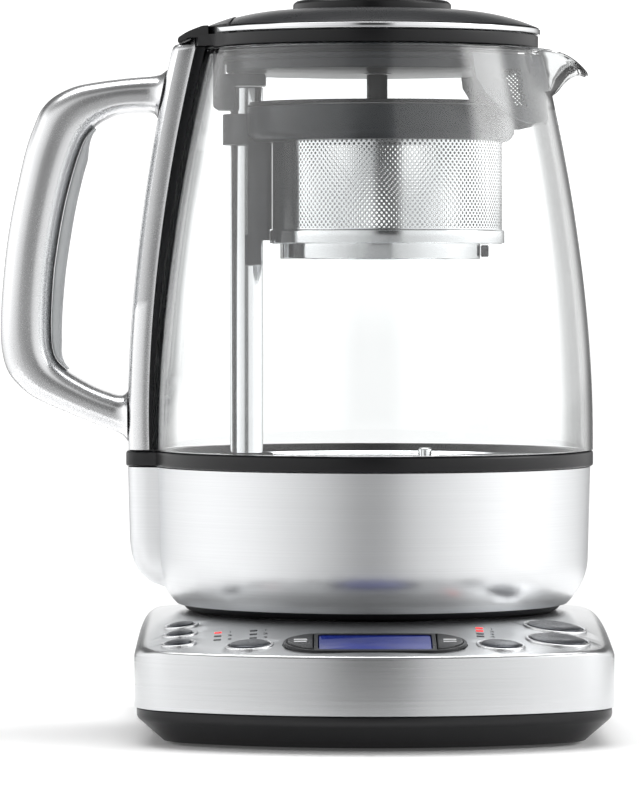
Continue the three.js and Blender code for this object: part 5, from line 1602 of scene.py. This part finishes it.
class TEAMAKER_OT_basket_wall(bpy.types.Operator):
    """Model the perforated wall of the basket"""

    bl_idname = "tea_maker.basket_wall"
    bl_label = "Basket Wall"

    def execute(self, context):
        pitch, row = sizes().hole_pitch / MM, sizes().hole_row_pitch / MM
        sweep = TURN - 2 * PLAIN_HALF_ANGLE
        columns = round(sweep * MESH_RADIUS / pitch)
        rows = round((MESH_TOP - MESH_BOTTOM) / row)
        sheet = perforated_sheet("perforated_wall", columns, rows, pitch, row, sizes().hole_radius / MM)
        turn_step = sweep / columns
        row_step = (MESH_TOP - MESH_BOTTOM) / rows
        for vertex in sheet.data.vertices:
            turn = PLAIN_HALF_ANGLE - HALF_TURN + (vertex.co.x / pitch + 0.5) * turn_step
            height = MESH_BOTTOM + (vertex.co.y / row + 0.5) * row_step
            vertex.co = at_angle(MESH_RADIUS, turn, height) + Vector((MESH_X, 0, 0))
        modified(sheet, "SOLIDIFY", thickness=MESH_WALL, offset=-1)
        strips = [self.strip(span("basket_wall")[0].z, MESH_BOTTOM, HALF_TURN, MESH_STEPS),
                  self.strip(MESH_BOTTOM, MESH_TOP, PLAIN_HALF_ANGLE, PLAIN_STEPS),
                  self.strip(MESH_TOP, LIP_BOTTOM + LIP_OVERLAP, HALF_TURN, MESH_STEPS)]
        lip = hoop("lip", MESH_RADIUS - MESH_WALL, MESH_RADIUS + LIP_WIDTH, LIP_BOTTOM, LIP_TOP, MESH_X, 0,
                   MESH_STEPS, 0.2)
        wall = gathered("perforated_wall", [sheet] + strips + [lip])
        settle(wall, "polished_steel", "basket", "brushed_steel", "basket_wall")
        return {"FINISHED"}

    def strip(self, bottom, top, half, steps):
        """A plain stretch of the wall, to either side of the pillar or all round."""
        clear_selection()
        bpy.ops.mesh.primitive_grid_add(x_subdivisions=steps, y_subdivisions=1, size=2)
        piece = named("plain_strip")
        for vertex in piece.data.vertices:
            turn = HALF_TURN + vertex.co.x * half
            height = bottom if vertex.co.y < 0 else top
            vertex.co = at_angle(MESH_RADIUS, turn, height) + Vector((MESH_X, 0, 0))
        mend(piece)
        return modified(piece, "SOLIDIFY", thickness=MESH_WALL, offset=-1)


# The cup that carries the basket, and the bracket that slides on the pillar
CUP_WALL = 1.2
CUP_CHAMFER = 2.4
SLIDE_BORE = PILLAR_RADIUS + SLIDE_GAP
BAND_RADIUS = 41.9
COLLAR_BOTTOM = 206.0
LEG_BOTTOM = 172.1
LEG_TOP = 206.65
LEG_HALF_ANGLE = 1.5
LEG_STEPS = 24
PAD_DEPTH = 2.2
PAD_TURN = 1.25
PAD_HALF_ANGLE = 0.36
PAD_OVERLAP = 2.0
PAD_STEPS = 8


class TEAMAKER_OT_basket_ring(bpy.types.Operator):
    """Model the ring that carries the basket, and the bracket on the pillar"""

    bl_idname = "tea_maker.basket_ring"
    bl_label = "Basket Ring and Bracket"

    def execute(self, context):
        low, high = span("basket_ring")
        radius = high.x - BASKET_X
        inner = radius - CUP_WALL
        corners = [(0, low.z), (radius - CUP_CHAMFER, low.z), (radius, low.z + CUP_CHAMFER),
                   (radius, high.z), (inner, high.z), (inner, low.z + CUP_CHAMFER),
                   (radius - CUP_CHAMFER, low.z + CUP_WALL), (0, low.z + CUP_WALL)]
        cup = turned("basket_ring_cup", filleted(corners, [0, 0.8, 1.5, 0.4, 0.4, 0.5, 0.5, 0]), BASKET_X)
        cut_away(cup, drill(WALL_ROOM, low, high, MESH_X, sides=ROUND_STEPS),
                 drill(SLEEVE_RADIUS + SEAT_GAP, low, high, PILLAR_X))
        settle(cup, "slate_plastic", "basket", "slate_plastic", "basket_ring")
        self.bracket()
        return {"FINISHED"}

    def bracket(self):
        low, high = span("basket_bracket")
        collar = hoop("bracket_collar", SLIDE_BORE, SLEEVE_RADIUS, COLLAR_BOTTOM, high.z, PILLAR_X, 0,
                      TUBE_STEPS, 0.5)
        leg = self.arc_strip(BRACKET_RADIUS, LEG_BOTTOM, LEG_TOP, 0, LEG_HALF_ANGLE, LEG_STEPS)
        pads = [self.arc_strip(SLIDE_BORE + PAD_DEPTH, low.z, LEG_BOTTOM + PAD_OVERLAP, turn, PAD_HALF_ANGLE,
                               PAD_STEPS) for turn in (-PAD_TURN, PAD_TURN)]
        joined(collar, leg, *pads)
        under, band_top = low.z - OVERRUN, span("basket_band")[1].z
        cut_away(collar, disc("wall", WALL_ROOM, under, LEG_TOP, MESH_X),
                 disc("band", BAND_RADIUS + SEAT_GAP, under, band_top + SEAT_GAP, MESH_X))
        bevelled(collar, 0.4)
        settle(collar, "slate_plastic", "basket", "slate_plastic", "basket_bracket")

    def arc_strip(self, outer, bottom, top, centre, half, steps):
        """A stretch of a ring about the pillar."""
        corners = [(SLIDE_BORE, bottom), (outer, bottom), (outer, top), (SLIDE_BORE, top)]

        def ring(turn):
            return ring_from([at_angle(radius, turn, height) + Vector((PILLAR_X, 0, 0))
                              for radius, height in corners])

        turns = [centre + mix(-half, half, i / steps) for i in range(steps + 1)]
        return lofted("arc_strip", [ring(turn) for turn in turns], len(corners))


# The floor, the ring below it and the plain band round it
FLOOR_THICKNESS = 1.0
FLOOR_RING_INNER = 34.5
FLOOR_RING_OUTER = 35.7
FLOOR_RING_OVERLAP = 0.5
BAND_INNER = 41.3
BAND_TAPER = 0.3
BAND_TAPER_HEIGHT = 0.5
TAB_CORNER = 1.2


class TEAMAKER_OT_basket_floor(bpy.types.Operator):
    """Model the band, the lower ring and the floor of the basket"""

    bl_idname = "tea_maker.basket_floor"
    bl_label = "Basket Floor"

    def execute(self, context):
        low, high = span("basket_floor")
        plate = disc("basket_base", MESH_RADIUS, high.z - FLOOR_THICKNESS, high.z, MESH_X, edge=0.3)
        lower = hoop("ring", FLOOR_RING_INNER, FLOOR_RING_OUTER, low.z, high.z - FLOOR_RING_OVERLAP,
                     BASKET_X, edge=0.5)
        settle(joined(plate, lower), "polished_steel", "basket", "brushed_steel", "basket_floor")
        low, high = span("basket_band")
        profile = [(BAND_INNER, low.z), (BAND_RADIUS, low.z), (BAND_RADIUS, high.z - BAND_TAPER_HEIGHT),
                   (BAND_RADIUS - BAND_TAPER, high.z), (BAND_INNER, high.z)]
        outline = bored(filleted(profile, [0.1, 0.25, 0.2, 0.1, 0.1], closed=True))
        band = turned("basket_steel_band", outline, MESH_X)
        settle(band, "polished_steel", "basket", "brushed_steel", "basket_band")
        low, high = span("basket_tab")
        outline = rounded_box(high.y, (high.z - low.z) / 2, TAB_CORNER)
        tab = slab("floor_tab", outline, low.x, high.x, 0.4)
        upright = Matrix.Rotation(QUARTER, 4, "Y") @ Matrix.Rotation(QUARTER, 4, "Z")
        tab.data.transform(Matrix.Translation((0, 0, (low.z + high.z) / 2)) @ upright)
        settle(tab, "slate_plastic", "basket", "slate_plastic", "basket_tab")
        return {"FINISHED"}


STEM_RADIUS = 1.85
STEM_HEAD_RADIUS = 3.7


class TEAMAKER_OT_basket_lid(bpy.types.Operator):
    """Model the lid of the basket and its stem"""

    bl_idname = "tea_maker.basket_lid"
    bl_label = "Basket Lid"

    def execute(self, context):
        low, high = span("basket_lid")
        plate = disc("basket_cover_plate", high.x - BASKET_X, low.z, high.z, BASKET_X, edge=0.4)
        cut_away(plate, drill(BRACKET_RADIUS + SEAT_GAP, low, high, PILLAR_X, sides=ROUND_STEPS),
                 drill(STEM_RADIUS + SEAT_GAP, low, high, STEM_X, sides=THIN_STEPS))
        settle(plate, "black_plastic", "basket_cover", "dark_plastic", "basket_lid")
        low, high = span("basket_lid_stem")
        shoulder = span("basket_lid")[1].z + SEAT_GAP
        profile = [(0, low.z), (STEM_RADIUS, low.z), (STEM_RADIUS, shoulder), (STEM_HEAD_RADIUS, shoulder),
                   (STEM_HEAD_RADIUS, high.z), (0, high.z)]
        stem = turned("cover_stem", filleted(profile, [0, 0.2, 0, 0.3, 0.7, 0]), STEM_X, 0, SMALL_STEPS)
        settle(stem, "black_plastic", "basket_cover", "black_plastic", "basket_lid_stem")
        return {"FINISHED"}


# The lid
SKIRT_RADIUS = 52.0
SKIRT_INNER = 49.8
LID_FLOOR_HOLE = 5.4
GASKET_RADIUS = 59.2
GASKET_TOP = 244.85
LID_RING_WIDTH = 4.0
DOME_INNER = 28.6
DOME_POWER = 2.2
DOME_STEPS = 16
DOME_WALL = 1.8
KNOB_SEAT_DEPTH = 1.0
DOME_UNDER_REACH = 12.0
DOME_UNDER_RISE = 1.0

# The ridge round the skirt: out from the skirt, and up from the glass's rim
SKIRT_RIDGE = [(0, -5.2), (1.6, -4.6), (1.6, -3), (0, -2.4)]

# The knob's edge and dish: out from its radius, and up from its top
KNOB_EDGE = [(0, -1.1), (-1.3, 0), (-3, 0)]
KNOB_DISH_DEPTH = 0.9
KNOB_DISH_HALFWAY_DEPTH = 0.7

# The tail from above: corners of one side, how far each moves for a clearance, and the bend between
TAIL_CORNERS = [(-68.9, 15.5), (-55.7, 22.3), (-50.5, 30)]
TAIL_GROWTH_SHARES = [(-1, 1), (-0.8, 0.8), (-0.2, 1.3)]
TAIL_BEND_X = -48.5
TAIL_BEND_RADIUS = 230.0
TAIL_BEND_HALF_ANGLE = 0.12
TAIL_BEND_STEPS = 12
TAIL_HALF_WIDTH = 30.0

# The tail from the side
TAIL_THICKNESS = 2.0
TAIL_PROUD = 0.4
TAIL_CREST_X = 65.3
TAIL_CREST_SHARE = 0.54
TAIL_ROOT_INNER = 58.0
TAIL_ROOT_OUTER = 60.4
TAIL_ROOT_OVERLAP = 1.0
HUB_BOTTOM = 244.0
TAIL_ROOM_BOTTOM = 238.0
TAIL_ROOM_TOP = 262.0

# The guide that holds the pillar's top
GUIDE_ARM_BOTTOM = 227.0
GUIDE_ARM_TOP = 231.2
GUIDE_BLOCK_END = -52.6
GUIDE_FRONT_END = -48.95


class TEAMAKER_OT_lid(bpy.types.Operator):
    """Model the lid: skirt, floor, seal, steel ring, dome and knob"""

    bl_idname = "tea_maker.lid"
    bl_label = "Lid"

    def execute(self, context):
        self.skirt()
        self.top()
        self.knob()
        self.guide()
        return {"FINISHED"}

    def skirt(self):
        low, high = span("lid_skirt")
        corners = [(SKIRT_INNER, low.z), (SKIRT_RADIUS, low.z)]
        corners += [(SKIRT_RADIUS + out, GLASS_TOP + up) for out, up in SKIRT_RIDGE]
        corners += [(SKIRT_RADIUS, high.z), (SKIRT_INNER, high.z)]
        edges = [0.3, 0.8, 0.4, 0.5, 0.5, 0.4, 0.3, 0.3]
        skirt = turned("lid_plug", bored(filleted(corners, edges, closed=True)))
        settle(skirt, "slate_plastic", "lid", "slate_plastic", "lid_skirt")
        low, high = span("lid_floor")
        floor = disc("lid_underside", high.x, low.z, high.z, edge=0.4)
        cut_away(floor, drill(LID_FLOOR_HOLE, low, high, STEM_X, sides=SMALL_STEPS))
        settle(floor, "slate_plastic", "lid", "slate_plastic", "lid_floor")

    def tail_plan(self, grow=0.0):
        """The tail seen from above: narrow over the spine, wider where it lies on the dome."""
        side = [Vector(corner) + Vector(share) * grow
                for corner, share in zip(TAIL_CORNERS, TAIL_GROWTH_SHARES)]
        near = [Vector((point.x, -point.y)) for point in side]
        bend = arc(TAIL_BEND_X - TAIL_BEND_RADIUS + grow, 0, TAIL_BEND_RADIUS, -TAIL_BEND_HALF_ANGLE,
                   TAIL_BEND_HALF_ANGLE, TAIL_BEND_STEPS)
        return near + bend + side[::-1]

    def tail_block(self, grow=0.0):
        """A tool with the tail's plan, from below the seal to above the dome."""
        return slab("tail_block", self.tail_plan(grow), TAIL_ROOM_BOTTOM, TAIL_ROOM_TOP)

    def tail(self, dome):
        """The tail: over the steel ring and the top of the spine, with a root that hangs inside it."""
        inner = spine_inner(SPINE_TOP)
        level = SPINE_TOP + SEAT_GAP
        liner = span("spine_liner")[1].z + SEAT_GAP
        seal = GLASS_TOP + SEAT_GAP
        tip = span("lid_seal")[0].x
        slope = SPINE_TOP_FALL / (spine_outer(SPINE_TOP) - SPINE_TOP_ROUND - inner)
        low = level - slope * (-tip - inner)
        edge = dome[0][1] + TAIL_PROUD
        crest = mix(low + TAIL_THICKNESS, edge, TAIL_CREST_SHARE)
        outline = [(-TAIL_ROOT_INNER, level), (-inner, level), (tip, low), (tip, low + TAIL_THICKNESS),
                   (-TAIL_CREST_X, crest), (-LID_RADIUS, edge), (-TAIL_ROOT_INNER, edge)]
        plate = slab("tail", filleted(outline, [0, 0.5, 0.9, 0.9, 2, 2, 0], closed=True), -TAIL_HALF_WIDTH,
                     TAIL_HALF_WIDTH)
        plate.data.transform(Matrix.Rotation(QUARTER, 4, "X"))
        over = [(radius, height + TAIL_PROUD) for radius, height in dome]
        hub = turned("hub", [(0, HUB_BOTTOM), (LID_RADIUS, HUB_BOTTOM), (LID_RADIUS, edge)] + over
                     + [(0, over[-1][1])])
        root_top, root_end = level + TAIL_ROOT_OVERLAP, inner - SEAT_GAP
        root = [(TAIL_ROOT_INNER, seal), (TAIL_ROOT_OUTER, seal), (TAIL_ROOT_OUTER, liner),
                (root_end, liner), (root_end, root_top), (TAIL_ROOT_INNER, root_top)]
        joined(mend(plate), hub, turned("root", bored(root)))
        return common(plate, self.tail_block())

    def top(self):
        low, high = span("lid_cap")
        shares = [i / DOME_STEPS for i in range(DOME_STEPS + 1)]
        dome = [(mix(high.x, DOME_INNER, share), mix(low.z, high.z, 1 - (1 - share) ** DOME_POWER))
                for share in shares]
        self.seal(dome)
        low_ring, high_ring = span("lid_ring")
        band = hoop("steel_lid_ring", LID_RADIUS - LID_RING_WIDTH, LID_RADIUS, low_ring.z, high_ring.z,
                    edge=0.45)
        cut_away(band, self.tail_block(SEAT_GAP))
        settle(band, "polished_steel", "lid", "polished_steel", "lid_ring")
        seat = high.z - KNOB_SEAT_DEPTH
        profile = filleted([(high.x - 2, low.z), (high.x, low.z)] + dome[1:], 0.3)
        profile += [(DOME_INNER, seat), (0, seat), (0, seat - DOME_WALL), (DOME_INNER, seat - DOME_WALL),
                    (high.x - DOME_UNDER_REACH, low.z + DOME_UNDER_RISE)]
        cap = turned("lid_dome", bored(profile))
        cut_away(cap, self.tail_block(SEAT_GAP))
        settle(cap, "dark_plastic", "lid", "dark_plastic", "lid_cap")

    def seal(self, dome):
        under, bottom = span("lid_skirt")[1].z + SEAT_GAP, GLASS_TOP + SEAT_GAP
        neck = SKIRT_RADIUS + SEAT_GAP
        corners = [(SKIRT_INNER, under), (neck, under), (neck, bottom), (GASKET_RADIUS, bottom),
                   (GASKET_RADIUS, GASKET_TOP), (SKIRT_INNER, GASKET_TOP)]
        ring = turned("lid_gasket", bored(filleted(corners, [0.2, 0.2, 0.2, 0.5, 0.4, 0.2], closed=True)))
        joined(ring, self.tail(dome))
        bevelled(ring, 0.35, segments=2)
        settle(ring, "black_plastic", "lid", "black_plastic", "lid_seal")

    def knob(self):
        low, high = span("lid_knob")
        radius = high.x
        profile = [(0, low.z), (radius, low.z)] + [(radius + out, high.z + up) for out, up in KNOB_EDGE]
        profile += [(radius / 2, high.z - KNOB_DISH_HALFWAY_DEPTH), (0, high.z - KNOB_DISH_DEPTH)]
        knob = turned("lid_button", filleted(profile, [0, 0.3, 0.6, 0.6, 1.5, 6, 0]))
        settle(knob, "black_plastic", "lid", "black_plastic", "lid_knob")

    def guide(self):
        low, high = span("post_guide")
        corners = [(low.x, high.z), (low.x, low.z), (GUIDE_FRONT_END, low.z),
                   (GUIDE_FRONT_END, GUIDE_ARM_BOTTOM), (high.x, GUIDE_ARM_BOTTOM), (high.x, GUIDE_ARM_TOP),
                   (GUIDE_BLOCK_END, GUIDE_ARM_TOP), (GUIDE_BLOCK_END, high.z)]
        outline = filleted(corners, [0.4, 2.2, 1.2, 1.2, 0.9, 0.9, 0.8, 0.4], closed=True)
        block = slab("pillar_guide", outline, low.y, high.y)
        block.data.transform(Matrix.Rotation(QUARTER, 4, "X"))
        mend(block)
        cut_away(block, disc("bore", SLIDE_BORE, low.z - OVERRUN, GUIDE_ARM_BOTTOM, PILLAR_X, 0, TUBE_STEPS))
        bevelled(block, 0.5)
        settle(block, "slate_plastic", "lid", "slate_plastic", "post_guide")


# CAD nodes that keep their shape, with their finishes
HIDDEN_LOOKS = {
    "control_board": "circuit_green",
    "power_board": "circuit_green",
    "base_connector": "black_plastic",
    "jug_connector": "black_plastic",
    "swivel_collar": "dark_plastic",
    "cord_gland": "rubber",
    "heating_element": "machined_steel",
    "lift_motor": "machined_steel",
    "lead_screw": "machined_steel",
    "magnet_carrier": "machined_steel",
    "bracket_magnet": "machined_steel",
}


class TEAMAKER_OT_hidden_parts(bpy.types.Operator):
    """Give the drive, the boards and the connectors their finishes"""

    bl_idname = "tea_maker.hidden_parts"
    bl_label = "Drive and Connectors"

    def execute(self, context):
        for node, look in HIDDEN_LOOKS.items():
            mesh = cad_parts[node].data
            mesh.materials.clear()
            mesh.materials.append(finish(look))
        return {"FINISHED"}


# The room's brightness by azimuth, in degrees from the camera's side, positive to the right. The dark
# stretches behind stand for the flags that draw the edges of the glass.
ROOM_LEVELS = [
    (-180, 1.1), (-173, 1.1), (-171, 0.15), (-160, 0.2), (-150, 0.8), (-125, 1.12), (-95, 1.3),
    (-70, 1.13), (-53, 0.97), (-37, 0.82), (-22, 0.66), (-14, 0.5), (0, 0.42), (12, 0.46), (15, 0.72),
    (22, 0.8), (37, 0.9), (53, 1.06), (70, 1.22), (90, 1.4), (110, 1.25), (145, 0.8), (160, 0.2),
    (171, 0.15), (173, 1.1), (180, 1.1),
]

# Brightness of the dark flag above the front, the bright box at the right, the upper back and the roof
FLAG_LEVEL = 0.05
BOX_LEVEL = 3.5
BACK_LEVEL = 0.14
ROOF_LEVEL = 5.4
UPPER_HALF_GAIN = 0.25
UPPER_FRONT_DIM_SHARE = 0.75

# The floor in metres: its size, how far its middle lies behind the jug, and its own faint light
FLOOR_SIZE = (0.7, 0.52)
FLOOR_AWAY = 0.06
FLOOR_GLOW = 0.06


class TEAMAKER_OT_stage(bpy.types.Operator):
    """Set the camera, the pale floor and the studio around it"""

    bl_idname = "tea_maker.stage"
    bl_label = "Stage"

    def execute(self, context):
        self.camera(context.scene)
        self.room()
        self.sky(context.scene)
        return {"FINISHED"}

    def camera(self, scene):
        look = scene.tea_maker_stage
        data = bpy.data.cameras.new("camera")
        data.lens = look.lens
        data.sensor_width = 36
        data.clip_end = 20
        camera = bpy.data.objects.new("camera", data)
        camera.location = (JUG_AXIS.x - look.aside, JUG_AXIS.y - look.distance, look.eye_height)
        camera.rotation_euler = (QUARTER - look.tilt, 0, 0)
        scene.collection.objects.link(camera)
        scene.camera = camera
        scene.view_settings.view_transform = "Standard"

    def room(self):
        clear_selection()
        bpy.ops.mesh.primitive_plane_add(size=1)
        floor = named("studio_floor")
        where = Matrix.Translation((JUG_AXIS.x, JUG_AXIS.y + FLOOR_AWAY, 0))
        floor.data.transform(where @ Matrix.Diagonal((*FLOOR_SIZE, 1, 1)))
        paper = Surface("studio_floor", (0.97, 0.97, 0.97), 0.0, 0.9)
        paper.put({"Emission Color": (1, 1, 1, 1), "Emission Strength": FLOOR_GLOW})
        floor.data.materials.append(paper.material)
        floor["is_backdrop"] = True

    def sky(self, scene):
        """The studio as the appliance mirrors it: level is read by azimuth, then by height."""
        world = bpy.data.worlds.new("studio")
        scene.world = world
        world.use_nodes = True
        tree = Tree(world.node_tree)
        way = tree.output("ShaderNodeTexCoord", which="Generated")
        parts = tree.node("ShaderNodeSeparateXYZ", {}, {0: way}).outputs
        x, y, z = (Link(tree, part) for part in parts)
        turn = x.math("ARCTAN2", x, 0.0 - y)
        share = turn / TURN + 0.5
        around = tree.ramp(share, [(0.5 + angle / 360, level / 2) for angle, level in ROOM_LEVELS]) * 2.0
        strip = turn.absolute()
        above = tree.ramp(z + 0.5, [(0.49, 0), (0.51, 1)])
        flag = tree.ramp(strip, [(0.14, 1), (0.27, 0)]) * above * tree.ramp(z, [(0.34, 1), (0.45, 0)])
        box = tree.ramp(turn / HALF_TURN, [(0.35, 0), (0.4, 1), (0.53, 1), (0.58, 0)])
        box = box * tree.ramp(z, [(0.22, 0), (0.28, 1), (0.6, 1), (0.66, 0)])
        wall = around * (above * UPPER_HALF_GAIN + 1.0) * (1.0 - flag) + flag * FLAG_LEVEL + box * BOX_LEVEL
        behind = tree.ramp(strip / HALF_TURN, [(0.55, 0), (0.72, 1)])
        wall = wall * (1.0 - (1.0 - behind) * tree.ramp(z, [(0.5, 0), (0.62, 1)]) * UPPER_FRONT_DIM_SHARE)
        dim = behind * tree.ramp(z, [(0.25, 0), (0.33, 1)])
        wall = wall * (1.0 - dim) + dim * BACK_LEVEL
        roof = tree.ramp(z, [(0.78, 0), (0.86, 1)]) * tree.ramp(y + 0.5, [(0.45, 0), (0.6, 1)])
        level = wall * (1.0 - roof) + roof * ROOF_LEVEL
        light = world.node_tree.nodes["Background"].inputs
        light["Color"].default_value = (1, 1, 1, 1)
        tree.feed(light["Strength"], level)


OPERATORS = [
    TEAMAKER_OT_stage, TEAMAKER_OT_base_shell, TEAMAKER_OT_base_tub, TEAMAKER_OT_round_keys,
    TEAMAKER_OT_display, TEAMAKER_OT_panel_marks, TEAMAKER_OT_jug_body, TEAMAKER_OT_wall_seal,
    TEAMAKER_OT_glass, TEAMAKER_OT_spout_filter, TEAMAKER_OT_heater_floor, TEAMAKER_OT_spine,
    TEAMAKER_OT_handle, TEAMAKER_OT_basket_wall, TEAMAKER_OT_basket_ring, TEAMAKER_OT_basket_floor,
    TEAMAKER_OT_basket_lid, TEAMAKER_OT_lid, TEAMAKER_OT_hidden_parts,
]


class TEAMAKER_PT_sidebar(bpy.types.Panel):
    """The tea maker's pieces, sizes and colours"""

    bl_idname = "TEAMAKER_PT_sidebar"
    bl_label = "Tea Maker"
    bl_space_type = "VIEW_3D"
    bl_region_type = "UI"
    bl_category = "Tea Maker"

    def draw(self, context):
        column = self.layout.column()
        for group in (sizes(), colours(), context.scene.tea_maker_stage):
            for name in group.bl_rna.properties.keys():
                if name not in ("rna_type", "name"):
                    column.prop(group, name)
        for operator in OPERATORS:
            column.operator(operator.bl_idname)


CLASSES = [TeaMakerSizes, TeaMakerColours, TeaMakerStage, *OPERATORS, TEAMAKER_PT_sidebar]


def register():
    for each in CLASSES:
        bpy.utils.register_class(each)
    bpy.types.Scene.tea_maker_sizes = PointerProperty(type=TeaMakerSizes)
    bpy.types.Scene.tea_maker_colours = PointerProperty(type=TeaMakerColours)
    bpy.types.Scene.tea_maker_stage = PointerProperty(type=TeaMakerStage)


def unregister():
    del bpy.types.Scene.tea_maker_stage
    del bpy.types.Scene.tea_maker_colours
    del bpy.types.Scene.tea_maker_sizes
    for each in reversed(CLASSES):
        bpy.utils.unregister_class(each)


def corners(box):
    return [list(corner) for corner in box]


def main():
    register()
    for operator in OPERATORS:
        group, name = operator.bl_idname.split(".")
        getattr(getattr(bpy.ops, group), name)()
    {"cad": corners(CAD_BOX), "visual": corners(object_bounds())}


if __name__ == "__main__":
    main()
